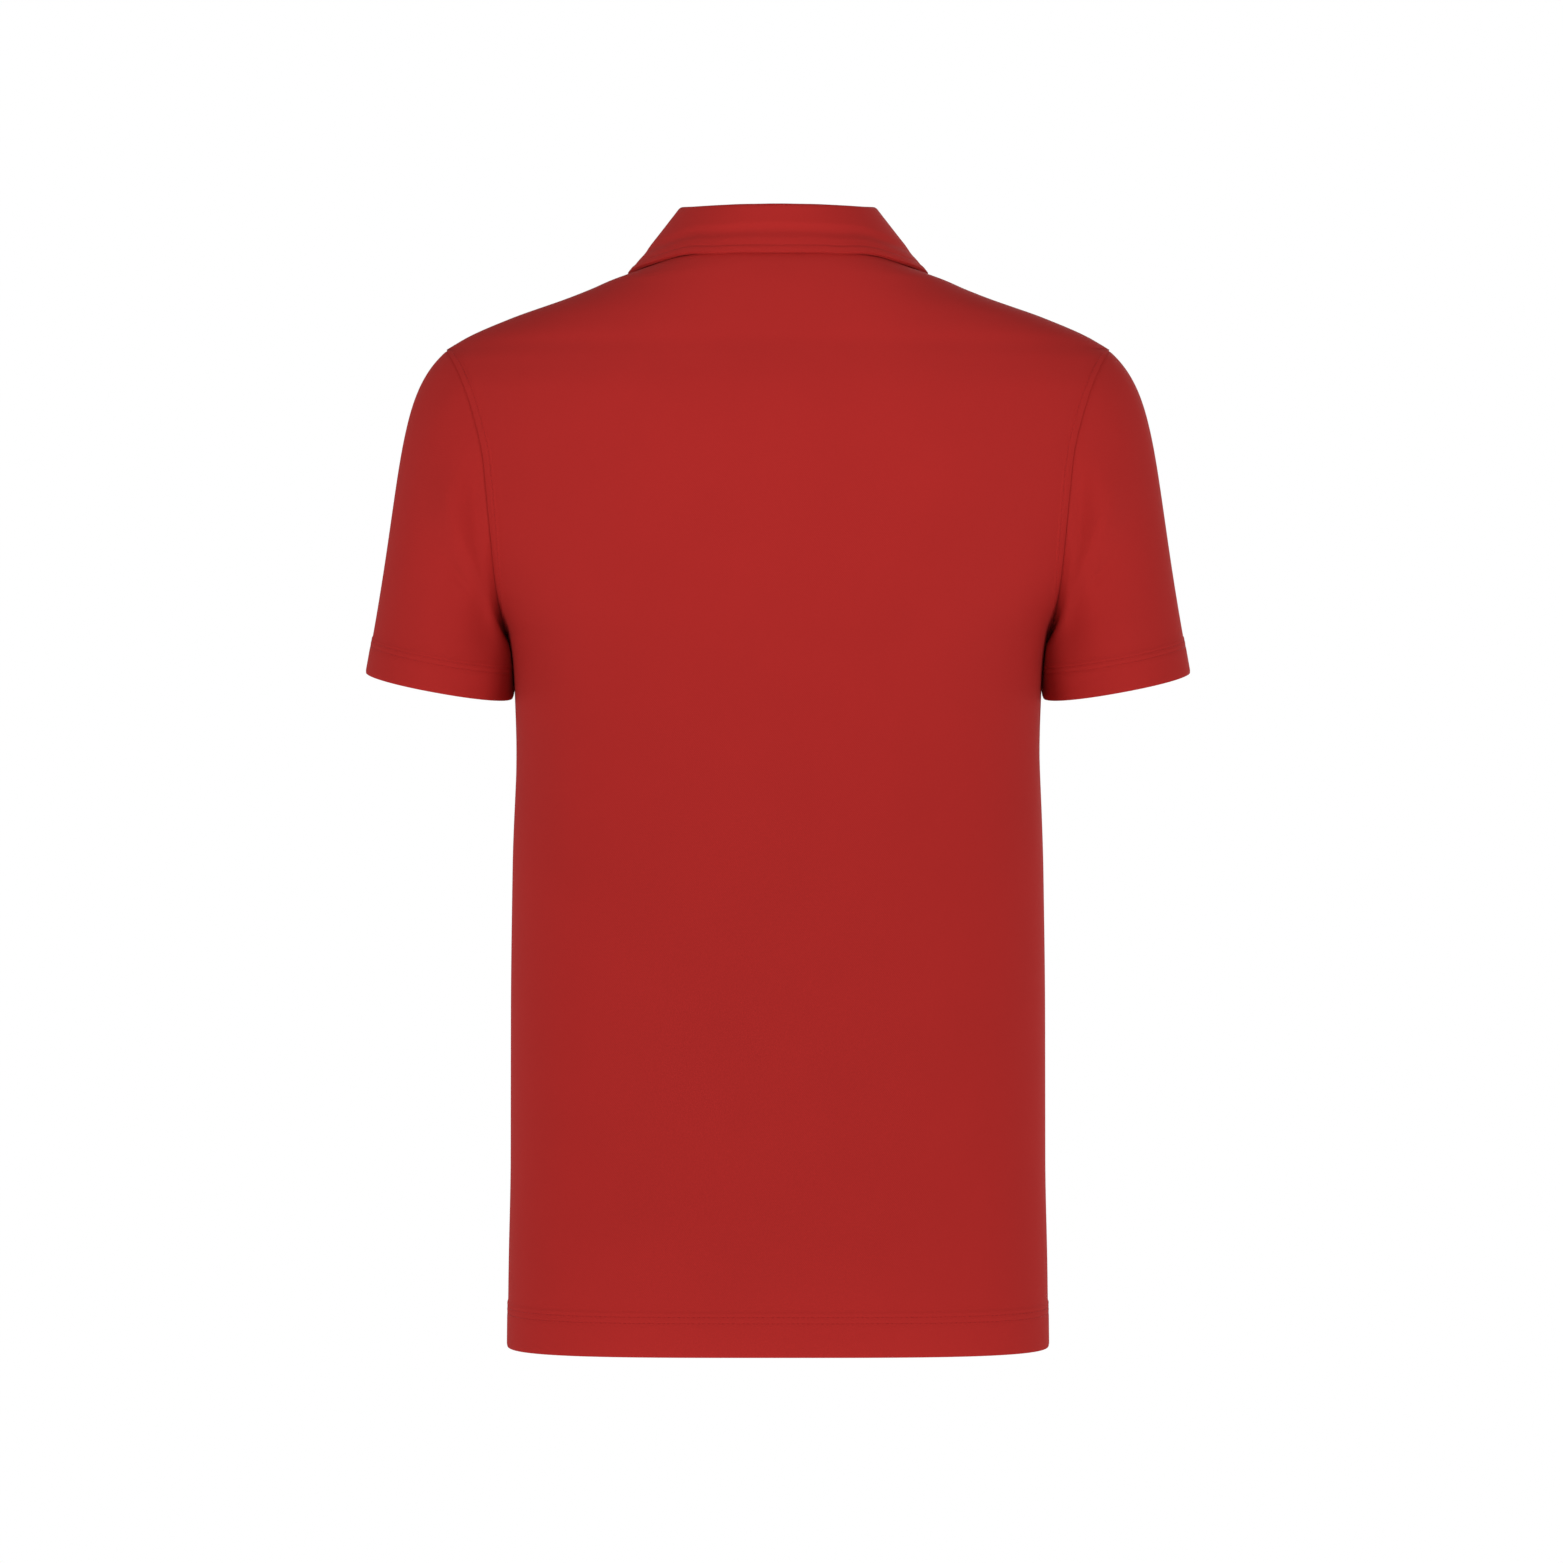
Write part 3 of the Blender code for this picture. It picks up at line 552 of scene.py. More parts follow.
def cloth_uv(points, column, way=+1):
    """Cloth coordinates: along each row from its middle, and along one of the columns."""
    step = np.linalg.norm(np.diff(points, axis=1), axis=2)
    across = np.concatenate([np.zeros((len(points), 1)), np.cumsum(step, axis=1)], axis=1)
    across -= across[:, across.shape[1] // 2][:, None]
    along = way * lengths(points[:, column])
    return np.stack([across, np.broadcast_to(along[:, None], across.shape)], 2)


def dressed(piece, node):
    """Gives a piece of cloth its knit and puts it in the place of its CAD node."""
    piece.data.materials.append(KNIT)
    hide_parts(node)
    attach(piece, "root")


def hemmed_cloth(node, points, uv, doubled, gone=None):
    """A piece of cloth with its wall, thicker where a test of its points finds its hem doubled."""
    piece = cloth_grid(node + "_cloth", points, uv)
    if gone is not None:
        cut_out(piece, gone)
    merge_points()
    places = np.array([tuple(v.co) for v in piece.data.vertices]) / MM
    give_wall(piece, HEM_WALL, WALL, np.array([doubled(place) for place in places], float))
    dressed(piece, node)
    return piece


STITCH_LENGTH, STITCH_GAP, STITCH_WIDTH, STITCH_HEIGHT = 2.5, 0.7, 0.52, 0.36
STITCH_PROUD = 0.06
THREAD_RED = (0.36, 0.0135, 0.0125)


def thread_finish(name, colour):
    """Sewing thread: two plies twisted round each other, a little glossier than the knit."""
    material, shader, place = new_material(name)
    twist = place.noise(1500.0, 1.0)
    tone = twist.spread(0.3, 0.7).toned(colour, 0.82, 1.18)
    surface(shader, tone, twist * 0.2 + 0.5, twist, 0.05)
    shader.inputs["Specular IOR Level"].default_value = 0.12
    return material


THREAD = thread_finish("red_thread", THREAD_RED)


def stitch_shape():
    """One stitch lying along X: its points and faces, from a small round bead drawn out long."""
    bead = added(bpy.ops.mesh.primitive_uv_sphere_add, segments=6, ring_count=4, radius=0.5)
    mesh = bead.data
    points = np.array([tuple(v.co) for v in mesh.vertices])[:, (2, 0, 1)]
    faces = [tuple(face.vertices) for face in mesh.polygons]
    bpy.data.objects.remove(bead)
    bpy.data.meshes.remove(mesh)
    return points * (STITCH_LENGTH, STITCH_WIDTH, STITCH_HEIGHT), faces


STITCH = stitch_shape()


def new_object(name, data):
    """A new object of the scene."""
    made = bpy.data.objects.new(name, data)
    bpy.context.scene.collection.objects.link(made)
    return made


def sewn(name, lines):
    """Thread stitches end to end along lines on the cloth, each line its points and directions."""
    shape, faces = STITCH
    points, polygons = [], []
    for line, outward in lines:
        along = lengths(line)
        count = int(along[-1] / (STITCH_LENGTH + STITCH_GAP))
        at = (np.arange(count) + 0.5) * along[-1] / count
        ahead = unit(at_lengths(at + 1.0, along, line) - at_lengths(at - 1.0, along, line))
        across = unit(np.cross(at_lengths(at, along, outward), ahead))
        up = np.cross(ahead, across)
        for place, x, y, z in zip(at_lengths(at, along, line), ahead, across, up):
            polygons += [tuple(i + len(points) * len(shape) for i in face) for face in faces]
            points.append(place + shape @ np.stack([x, y, z]) + z * STITCH_PROUD)
    mesh = bpy.data.meshes.new(name)
    mesh.from_pydata((np.concatenate(points) * MM).tolist(), [], polygons)
    mesh.polygons.foreach_set("use_smooth", [True] * len(mesh.polygons))
    mesh.materials.append(THREAD)
    piece = new_object(name, mesh)
    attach(piece, "root")
    return piece


def nearest_row(levels, level):
    """The row that lies nearest to a level."""
    return int(np.argmin(np.abs(levels - level)))


def panel_stitches(points, normals):
    """Lines for a panel's stitches: two rows round the hem and one beside each armhole."""
    rows = [nearest_row(LEVELS, HEM_LEVEL + height) for height in HEM_STITCH_HEIGHTS]
    arm = (LEVELS > UNDERARM_LEVEL + 6) & (LEVELS < SHOULDER_LEVEL - 3)
    places = [*rows, (arm, TOP_STITCH_COLUMN), (arm, -1 - TOP_STITCH_COLUMN)]
    return [(points[place], normals[place]) for place in places]


def make_panel(node, side, folds, gone=None):
    """A panel of the body, hemmed and sewn, with a part of it cut out."""
    points, normals = worn_panel(side, folds)
    uv = cloth_uv(points, points.shape[1] // 3)[:, ::-side]
    low = HEM_LEVEL + HEM_DOUBLED
    piece = hemmed_cloth(node, points[:, ::-side], uv, lambda place: place[2] < low, gone)
    sewing = sewn(node + "_stitches", panel_stitches(points, normals))


make_panel("back", +1, BACK_FOLDS)


# The front
# The same knit, cut like the back but lower at the neck, with a slot down from the neck for the
# buttons. The photograph doesn't show it, so it is plain, with soft folds like those behind.

FRONT_FOLDS = (
    # x, z, reach across, reach along, lean, how far it stands out
    (-150.0, -245.0, 22.0, 95.0, 24.0, -1.5),
    (148.0, -252.0, 20.0, 88.0, -22.0, -1.4),
    (-70.0, -470.0, 60.0, 130.0, 10.0, -0.9),
    (86.0, -430.0, 52.0, 120.0, -13.0, -0.9),
    (4.0, -300.0, 26.0, 90.0, 0.0, -0.8),
    (-30.0, -640.0, 90.0, 44.0, 10.0, 0.7),
    (96.0, -652.0, 70.0, 38.0, -12.0, 0.7),
)

half, across = EVEN_COLUMNS + len(FROM_EDGE) + len(STRIP_PLACES) - 1, len(STRIP_PLACES)
in_slot = np.zeros((len(LEVELS) - 1, 2 * half), bool)
in_slot[LEVELS[:-1] >= SLOT_FOOT_LEVEL - 0.01, half - across:half + across] = True
make_panel("front", -1, FRONT_FOLDS, gone=in_slot.ravel())


# The sleeves
# Each is one short piece of the knit, closed into a tube by a seam under the arm, set into the
# armhole and hemmed like the body. It hangs down and a little outwards, just clear of the side.

CUFF_CENTRE = (226.0, -6.0, -281.6)
CUFF_HALF_WIDTH, CUFF_HALF_DEPTH, CUFF_ROUNDNESS = 49.3, 61.0, 2.2
CUFF_OUTWARD_TILT, CUFF_FORWARD_TILT = 10.6, 5.5
SLEEVE_HEM_DOUBLED, SLEEVE_HEM_FADE = 24.0, (23.0, 25.0)
SLEEVE_LENGTH, SLEEVE_CLEARANCE, SLEEVE_SPREAD = 200.0, 0.15, 0.10
UP_TO_HEM, FROM_HEM = 0.77, 0.78
CUFF_STITCH_LIFTS = (18.4, 22.0)
ARM_SEAM, SEAM_TUCK = (0.35, 2.4), 0.9

# The places of the sleeve's points: shares of the way round from the seam under the arm, shares of
# the way down to the hem, and heights over the edge within the hem
BESIDE_SEAM = np.array((0.0, 0.0012, 0.0026, 0.0045, 0.007, 0.010))
ROUND_SLEEVE = np.concatenate([BESIDE_SEAM, np.linspace(0.016, 0.984, 97), 1 - BESIDE_SEAM[::-1]])
BELOW_ARMHOLE = (0, 0.002, 0.0045, 0.0075, 0.011, 0.016, 0.022, 0.03, 0.04)
DOWN_SLEEVE = (*BELOW_ARMHOLE, *np.linspace(0.055, 1, 54))
CUFF_LIFTS = (
    24.2, 23.6, 23.0, 22.5, 22.0, 21.5, 20.8, 19.8, 19.0, 18.4, 17.8, 16.8,
    14, 11, 8, 5, 3, 1.6, 0.7, 0,
)

# How the sleeve leaves the armhole, by the share of the way from the underarm up to the shoulder
SLEEVE_COLUMNS = ("share", "outward", "down", "reach_out", "reach_down")
SLEEVE = (
    (0.0, 0.55, 0.85, 0.35, 0.45),
    (0.3, 0.50, 0.85, 0.30, 0.40),
    (0.55, 0.62, 0.78, 0.28, 0.42),
    (0.8, 0.74, 0.68, 0.24, 0.50),
    (1.0, 0.76, 0.65, 0.22, 0.60),
)
# Soft folds: place round the sleeve (0 underarm, 0.25 behind, 0.5 on top) and along it (0 armhole,
# 1 cuff), reach both ways, and depth, where below 0 stands out
SLEEVE_FOLDS = (
    (0.235, 0.50, 0.13, 0.24, 3.2),
    (0.300, 0.28, 0.10, 0.22, -1.6),
    (0.790, 0.46, 0.13, 0.26, 2.8),
    (0.720, 0.24, 0.10, 0.20, -1.4),
    (0.232, 0.14, 0.075, 0.17, 3.2),
    (0.275, 0.28, 0.065, 0.20, -2.6),
    (0.243, 0.45, 0.050, 0.045, 1.1),
    (0.262, 0.74, 0.065, 0.34, -1.5),
    (0.155, 0.52, 0.065, 0.42, 3.0),
    (0.780, 0.13, 0.075, 0.15, 2.0),
    (0.735, 0.72, 0.070, 0.32, -1.3),
    (0.850, 0.50, 0.060, 0.38, 2.3),
)


def armhole_loop(shares):
    """The left armhole at shares of the way round it: up behind from its foot, down in front."""
    turn = np.cos(np.linspace(math.pi, 0, 240))
    levels = (UNDERARM_LEVEL + SHOULDER_LEVEL + (SHOULDER_LEVEL - UNDERARM_LEVEL) * turn) / 2
    rising, falling = shares[shares < 0.5], shares[shares >= 0.5] - 0.5
    loop = []
    for half, at in ((edge_line(levels, +1), rising), (edge_line(levels, -1)[::-1], falling)):
        along = lengths(half)
        loop.append(at_lengths(at * 2 * along[-1], along, half))
    return np.concatenate(loop)


def cuff_axes():
    """The sleeve's direction at the cuff, and the cuff's own two directions across."""
    out, forward = math.radians(CUFF_OUTWARD_TILT), math.radians(CUFF_FORWARD_TILT)
    down = unit((math.sin(out), -math.sin(forward), -math.cos(out)))
    across = unit(np.cross((0, 1, 0), -down))
    return down, across, np.cross(-down, across)


def cuff_ring(shares, lift):
    """The cuff's outline at shares of the way round from its inner point, lift above its edge."""
    down, across, back_way = cuff_axes()
    turn, power = np.linspace(0, math.tau, 1600), 2 / CUFF_ROUNDNESS
    x = -CUFF_HALF_WIDTH * np.sign(np.cos(turn)) * np.abs(np.cos(turn)) ** power
    y = CUFF_HALF_DEPTH * np.sign(np.sin(turn)) * np.abs(np.sin(turn)) ** power
    ring = np.outer(x, across) + np.outer(y, back_way)
    along = lengths(ring)
    return np.array(CUFF_CENTRE) + at_lengths(shares * along[-1], along, ring) - down * lift


def kept_clear(points, distance):
    """Points no nearer to the figure than a distance; those that are nearer move straight out."""
    flat = np.array(points, float).reshape(-1, 3)
    for _ in range(6):
        for side in (+1, -1):
            chosen = (flat[:, 1] >= 0) == (side > 0)
            slope = slopes(flat[chosen], side)
            size = np.linalg.norm(slope, axis=1)
            short = np.maximum(distance - outside(flat[chosen], side) / size, 0)
            flat[chosen] += unit(slope) * short[:, None]
    return flat.reshape(np.shape(points))


def sleeve_rings():
    """The left sleeve's rings from the armhole to the cuff, and how they leave the armhole."""
    loop = armhole_loop(ROUND_SLEEVE)
    target = cuff_ring(ROUND_SLEEVE, SLEEVE_HEM_FADE[1])
    up = 1 - np.abs(1 - 2 * ROUND_SLEEVE)
    lead = {name: curve(up) for name, curve in curves_of(SLEEVE, SLEEVE_COLUMNS).items()}
    spread = SLEEVE_SPREAD * np.sin(math.tau * ROUND_SLEEVE)
    start = unit(np.stack([lead["outward"], spread, -lead["down"]], 1))
    length = np.linalg.norm(target - loop, axis=1)[:, None]
    first = loop + start * length * lead["reach_out"][:, None]
    second = target - cuff_axes()[0] * length * lead["reach_down"][:, None]
    rings = [
        (1 - t) ** 3 * loop
        + 3 * t * (1 - t) ** 2 * first
        + 3 * t * t * (1 - t) * second
        + t**3 * target
        for t in DOWN_SLEEVE
    ]
    return np.array(rings + [cuff_ring(ROUND_SLEEVE, lift) for lift in CUFF_LIFTS]), start


def worn_sleeve():
    """The left sleeve's points with its hem, seams and folds, and the directions out of it."""
    rings, start = sleeve_rings()
    normals = grid_normals(rings[:, :-1], closed=True)
    normals = np.concatenate([normals, normals[:, :1]], axis=1)
    down = np.array(DOWN_SLEEVE)
    lift = np.concatenate([SLEEVE_HEM_FADE[1] + SLEEVE_LENGTH * (1 - down), CUFF_LIFTS])[:, None]
    along = np.concatenate([UP_TO_HEM * down, np.linspace(FROM_HEM, 1, len(CUFF_LIFTS))])[:, None]
    stand = hemmed(lift, SLEEVE_HEM_FADE, CUFF_STITCH_LIFTS) - sum(
        depth * swell((ROUND_SLEEVE - at) / reach) * swell((along - place) / way)
        for at, place, reach, way, depth in SLEEVE_FOLDS
    )
    arm = distance_to(rings, np.concatenate([ARMHOLE_SEAM[+1], ARMHOLE_SEAM[-1]]))
    stand = stand - pinch(arm, *ARM_SEAM) - pinch(distance_to(rings, rings[:, 0]))
    behind = ROUND_SLEEVE[:, None] < 0.5
    body_out = np.where(behind, unit(slopes(rings[0], +1)), unit(slopes(rings[0], -1)))
    tucked = rings[0] - (start + body_out) * SEAM_TUCK
    worn = np.concatenate([[tucked], rings + normals * stand[..., None]])
    below = worn[..., 2] < UNDERARM_LEVEL
    worn[below] = kept_clear(worn[below], SLEEVE_CLEARANCE)
    worn[:, -1] = worn[:, 0]
    return worn, np.concatenate([normals[:1], normals])


sleeve_points, sleeve_normals = worn_sleeve()


def make_sleeve(node, mirror):
    """One sleeve, hemmed and sewn."""
    points, normals = sleeve_points * (mirror, 1, 1), sleeve_normals * (mirror, 1, 1)
    uv = cloth_uv(points, points.shape[1] // 2, -1)[:, ::mirror]
    hem = points[-len(CUFF_LIFTS):][np.array(CUFF_LIFTS) < SLEEVE_HEM_DOUBLED].reshape(-1, 3)
    hem = {tuple(np.round(place, 3)) for place in hem}
    piece = hemmed_cloth(
        node, points[:, ::mirror], uv, lambda place: tuple(np.round(place, 3)) in hem
    )
    rows = [1 + len(DOWN_SLEEVE) + CUFF_LIFTS.index(lift) for lift in CUFF_STITCH_LIFTS]
    sewing = sewn(node + "_stitches", [(points[row], normals[row]) for row in rows])


make_sleeve("sleeve_left", +1)
make_sleeve("sleeve_right", -1)


# The collar
# One folded collar of two layers of the knit, its stand sewn to the neckline and its fall turned
# down over the seam, with a row of stitches just inside its free edge.

COLLAR_WALL, COLLAR_EDGE_WALL = 1.8, 2.5
FOLD_RADIUS, END_HALF_GAP, COLLAR_CLEARANCE, NECK_MIDDLE = 2.4, 3.0, 0.3, -8.0
SEAM_GAP, TUCK_DOWN, TUCK_IN, EDGE_REST = 0.3, 2.6, 0.9, 1.4
EDGE_STITCH, EDGE_TROUGH, EDGE_PROUD, EDGE_FADE = 5.3, (0.4, 1.4), 0.25, (4.6, 6.2)
HOLLOW_DEPTH, HOLLOW_FROM_EDGE, HOLLOW_REACH, HOLLOW_FADE = 1.2, 16.5, 6.5, (-20.0, 30.0)
REST_FADE, THICK_FADE, COLLAR_EDGE_ROUND = (0.42, 0.56), (4.0, 8.0), 0.6
STAND_COLUMNS, FOLD_COLUMNS = 8, 9
FALL_COLUMN = 1 + STAND_COLUMNS + FOLD_COLUMNS
COLLAR_COLUMNS = ("around", "stand", "lean", "edge_x", "edge_y", "edge_z")
COLLAR = (
    (0.0, 26.4, 10.0, 0.0, 69.0, 1.0),
    (0.04, 26.5, 10.0, 11.7, 68.7, 1.0),
    (0.13, 28.0, 10.0, 38.0, 65.8, 1.3),
    (0.26, 32.4, 12.5, 70.5, 49.0, 1.4),
    (0.34, 35.0, 15.5, 88.5, 28.0, -2.5),
    (0.42, 36.4, 17.0, 98.8, -1.0, -6.4),
    (0.55, 32.5, 15.5, 100.2, -38.0, -17.5),
    (0.70, 24.0, 10.0, 89.5, -67.0, -47.0),
    (0.85, 15.5, 8.0, 72.3, -86.8, -88.0),
    (1.0, 9.0, 5.0, 48.5, -101.5, -124.0),
)
FROM_FALL_EDGE = (9.5, 7.6, 6.4, 5.8, 5.3, 4.8, 4.2, 3.2, 2.2, 1.4, 0.7, 0.0)


def neckline():
    """The neck seam from centre back to the collar's front end, on the wearer's left."""
    behind = section(0.0, +1, 0.0, NECK_HALF_WIDTH, lambda length: np.linspace(0, length, 60))
    front = []
    for turn in np.linspace(0, math.pi / 2, 160)[1:]:
        x, y = NECK_HALF_WIDTH * math.cos(turn), -NECK_FRONT * math.sin(turn)
        if x < SLOT_HALF_WIDTH:
            break
        front.append((x, y, body_height(x, y)))
    over = section(
        SLOT_TOP_LEVEL, -1, END_HALF_GAP, SLOT_HALF_WIDTH, lambda length: np.linspace(length, 0, 8)
    )
    return np.concatenate([behind, [p for p in front if p[2] > SLOT_TOP_LEVEL + 0.3], over])


def rounded_fold(base, centre, edge):
    """The collar's path from its base up to the fold, round its centre and down to its edge."""
    across, rise = unit(edge - base), centre - base
    up = unit(rise - across * (rise @ across))
    middle = np.array([rise @ across, rise @ up])
    last = np.array([(edge - base) @ across, 0.0])
    ends = []
    for foot, turned in ((np.zeros(2), +1), (last, -1)):
        reach = middle - foot
        far = math.hypot(*reach)
        angle = math.atan2(reach[1], reach[0]) + turned * math.asin(FOLD_RADIUS / far)
        length = math.sqrt(far**2 - FOLD_RADIUS**2)
        ends.append(foot + length * np.array([math.cos(angle), math.sin(angle)]))
    leave, arrive = ends
    path = [leave * i / STAND_COLUMNS for i in range(STAND_COLUMNS)]
    begin, end = (math.atan2(*(point - middle)[::-1]) for point in (leave, arrive))
    begin += math.tau if begin < end else 0.0
    turns = np.linspace(begin, end, FOLD_COLUMNS)
    path += [middle + FOLD_RADIUS * np.array([math.cos(turn), math.sin(turn)]) for turn in turns]
    fall = float(np.linalg.norm(last - arrive))
    close = fall - np.array(FROM_FALL_EDGE)
    places = np.concatenate([np.linspace(0, close[0], 17)[1:-1], close])
    path += [arrive + (last - arrive) * place / fall for place in places]
    return [base + u * across + v * up for u, v in path]


def collar_form():
    """The whole collar's points from its right front end to its left, and its directions."""
    seam = neckline()
    along = lengths(seam)
    whole = along[-1]
    near_end = whole - np.array(FROM_FALL_EDGE)
    at = np.concatenate([np.linspace(0, near_end[0], 70, endpoint=False), near_end])
    seam = at_lengths(at, along, seam)
    table = {name: curve(at / whole) for name, curve in curves_of(COLLAR, COLLAR_COLUMNS).items()}
    edges = np.stack([table[name] for name in ("edge_x", "edge_y", "edge_z")], 1)
    in_front = ramp(at / whole, *REST_FADE)
    paths = []
    for i, (foot, edge) in enumerate(zip(seam, edges)):
        resting = body_height(*edge[:2]) + EDGE_REST
        edge[2] = in_front[i] * edge[2] + (1 - in_front[i]) * resting
        inwards = unit((-foot[0], NECK_MIDDLE - foot[1], 0.0))
        lean = math.radians(table["lean"][i])
        upwards = np.array([0, 0, math.cos(lean)]) + inwards * math.sin(lean)
        base = foot + (0, 0, SEAM_GAP + COLLAR_WALL / 4) + inwards * COLLAR_WALL / 2
        centre = base + (table["stand"][i] - FOLD_RADIUS) * upwards
        centre = centre + unit((edge - base) * (1, 1, 0)) * FOLD_RADIUS
        tucked = base + inwards * TUCK_IN - (0, 0, TUCK_DOWN)
        paths.append([tucked, *rounded_fold(base, centre, edge)])
    paths = np.array(paths)
    low = (np.arange(paths.shape[1]) >= FALL_COLUMN) & (in_front > 0)[:, None]
    pushed = kept_clear(paths[low], COLLAR_EDGE_WALL / 2 + COLLAR_CLEARANCE) - paths[low]
    paths[low] += pushed * np.broadcast_to(in_front[:, None], low.shape)[low][:, None]
    grid = both_halves(paths)
    from_end = np.concatenate([(whole - at)[:0:-1], whole - at])
    return grid, -grid_normals(grid), from_end


collar_grid, collar_normals, from_end = collar_form()
step = np.linalg.norm(np.diff(collar_grid, axis=1), axis=2)
from_edge = np.cumsum(step[:, ::-1], axis=1)[:, ::-1]
from_edge = np.concatenate([from_edge, np.zeros((len(step), 1))], axis=1)
fall = np.arange(collar_grid.shape[1]) >= FALL_COLUMN
inside = np.minimum(from_edge, from_end[:, None])
behind = ramp(collar_grid[:, -1, 1], *HOLLOW_FADE)[:, None]
relief = EDGE_PROUD * (1 - ramp(inside, *EDGE_FADE)) - stitch_dip(inside - EDGE_STITCH, *EDGE_TROUGH)
relief = relief - HOLLOW_DEPTH * behind * swell((from_edge - HOLLOW_FROM_EDGE) / HOLLOW_REACH)
collar_points = collar_grid + collar_normals * (relief * fall)[..., None]
around = np.broadcast_to(lengths(collar_grid[:, 0])[:, None], from_edge.shape)
collar_uv = np.stack([-from_edge, around], 2)
collar = cloth_grid("collar_cloth", collar_points[:, ::-1], collar_uv[:, ::-1])
thick = (1 - ramp(from_edge[:, ::-1], *THICK_FADE)).ravel()
give_wall(collar, COLLAR_EDGE_WALL, COLLAR_WALL, thick, 0.0, COLLAR_EDGE_ROUND)
dressed(collar, "collar")

outer = collar_points + collar_normals * COLLAR_WALL / 2
first_row = FROM_FALL_EDGE[::-1].index(EDGE_STITCH)
last_row, edge_column = (count - 1 - first_row for count in outer.shape[:2])
up_the_end = slice(FALL_COLUMN + 2, edge_column + 1)
collar_rows = (
    (slice(first_row, last_row + 1), edge_column), (first_row, up_the_end), (last_row, up_the_end)
)
collar_sewing = sewn("collar_stitches", [(outer[row], collar_normals[row]) for row in collar_rows])


# The front fastening
# Two strips of the knit: the upper one lies in the slot with a buttonhole under each button, and
# the lower one behind it carries the buttons. Stitches hold the upper one along both its sides.

STRIP_WALL, STRIP_EDGE_ROUND, STRIP_PROUD, STRIP_SIDE_GAP, STRIP_FOOT_GAP = 1.4, 0.4, 0.9, 0.05, 0.3
UNDER_HALF_WIDTH, UNDER_DEPTH, UNDER_DROP = 17.0, 2.1, 2.0
STRIP_STITCH, STRIP_STITCH_DEPTH = 12.4, 0.22
STRIP_BOX = (3.0, 17.0)


def make_strip(node, half, near, foot, stitched=False):
    """A strip on the front's own section as a finished piece, and the lines of its stitches."""
    box = SLOT_FOOT_LEVEL + np.array(STRIP_BOX)
    levels = np.unique(np.concatenate([np.linspace(foot, SLOT_TOP_LEVEL, 50), box]))
    xs = (0, 2.5, 5, 7.5, 9.5, 11, 11.8, STRIP_STITCH, 13, 13.8, half - 0.5, half)
    rows = [section(z, -1, 0.0, half, lambda length: np.array(xs) / half * length) for z in levels]
    points = np.array([both_halves(row) for row in rows])
    normals = unit(slopes(points, -1))
    points = points + normals * near
    lines = []
    if stitched:
        stand = -stitch_dip(np.abs(points[..., 0]) - STRIP_STITCH, STRIP_STITCH_DEPTH)
        for level in box:
            stand = stand - stitch_dip(levels - level, STRIP_STITCH_DEPTH)[:, None]
        points = points + normals * stand[..., None]
        left, right = (len(xs) - 1 + side * xs.index(STRIP_STITCH) for side in (+1, -1))
        across = slice(right, left + 1)
        places = [(slice(None), left), (slice(None), right)]
        places += [(nearest_row(levels, level), across) for level in box]
        lines = [(points[place], normals[place]) for place in places]
    piece = cloth_grid(node + "_cloth", points, cloth_uv(points, points.shape[1] // 3))
    give_wall(piece, STRIP_WALL, round_edge=STRIP_EDGE_ROUND)
    dressed(piece, node)
    return piece, lines


under_foot, top_foot = SLOT_FOOT_LEVEL - UNDER_DROP, SLOT_FOOT_LEVEL + STRIP_FOOT_GAP
under, _ = make_strip("placket_under", UNDER_HALF_WIDTH, -UNDER_DEPTH, under_foot)
strip, strip_lines = make_strip(
    "placket_top", SLOT_HALF_WIDTH - STRIP_SIDE_GAP, STRIP_PROUD, top_foot, stitched=True
)
strip_sewing = sewn("placket_stitches", strip_lines)


# The buttons
# Three small moulded buttons with a raised rim and four holes, sewn to the lower strip and pushed
# through bound buttonholes in the upper one. They stay fastened.

BUTTON_DROPS = (14.0, 62.0, 110.0)
BUTTON = (
    # radius and height of each ring, from the back round the rim into the dish
    (4.95, 0.0), (5.55, 0.25), (5.75, 0.7), (5.75, 1.9), (5.62, 2.3), (5.25, 2.6),
    (4.75, 2.6), (4.4, 2.45), (4.0, 1.95), (3.6, 1.75), (2.8, 1.7),
)
HOLE_RADIUS, HOLE_OFFSET, DRILL_LENGTH = 0.85, 1.5, 8.0
SLOT_HALF_LENGTH, SLOT_HALF_GAP, SLOT_THREAD, SLOT_FLATNESS = 7.2, 0.35, 0.55, 0.6
BUTTON_REST, SLOT_REST = STRIP_PROUD + 0.3, STRIP_PROUD + 0.1
THREAD_REST, THREAD_HALF_LENGTH = BUTTON_REST + 1.75, 1.7
BUTTON_RED = (0.33, 0.0135, 0.0125)


def button_finish(name, colour):
    """Cast plastic: glossy on its rim and a little scuffed, with a faint cloud in its red."""
    material, shader, place = new_material(name)
    cloud, scuff = place.noise(260.0, 3.0), place.noise(1400.0, 3.0)
    cloud, rough = cloud.spread(0.3, 0.7), scuff.spread(0.35, 0.75, 0.22, 0.42)
    surface(shader, cloud.toned(colour, 0.85, 1.2), rough, scuff, 0.01)
    return material


PLASTIC = button_finish("red_plastic", BUTTON_RED)


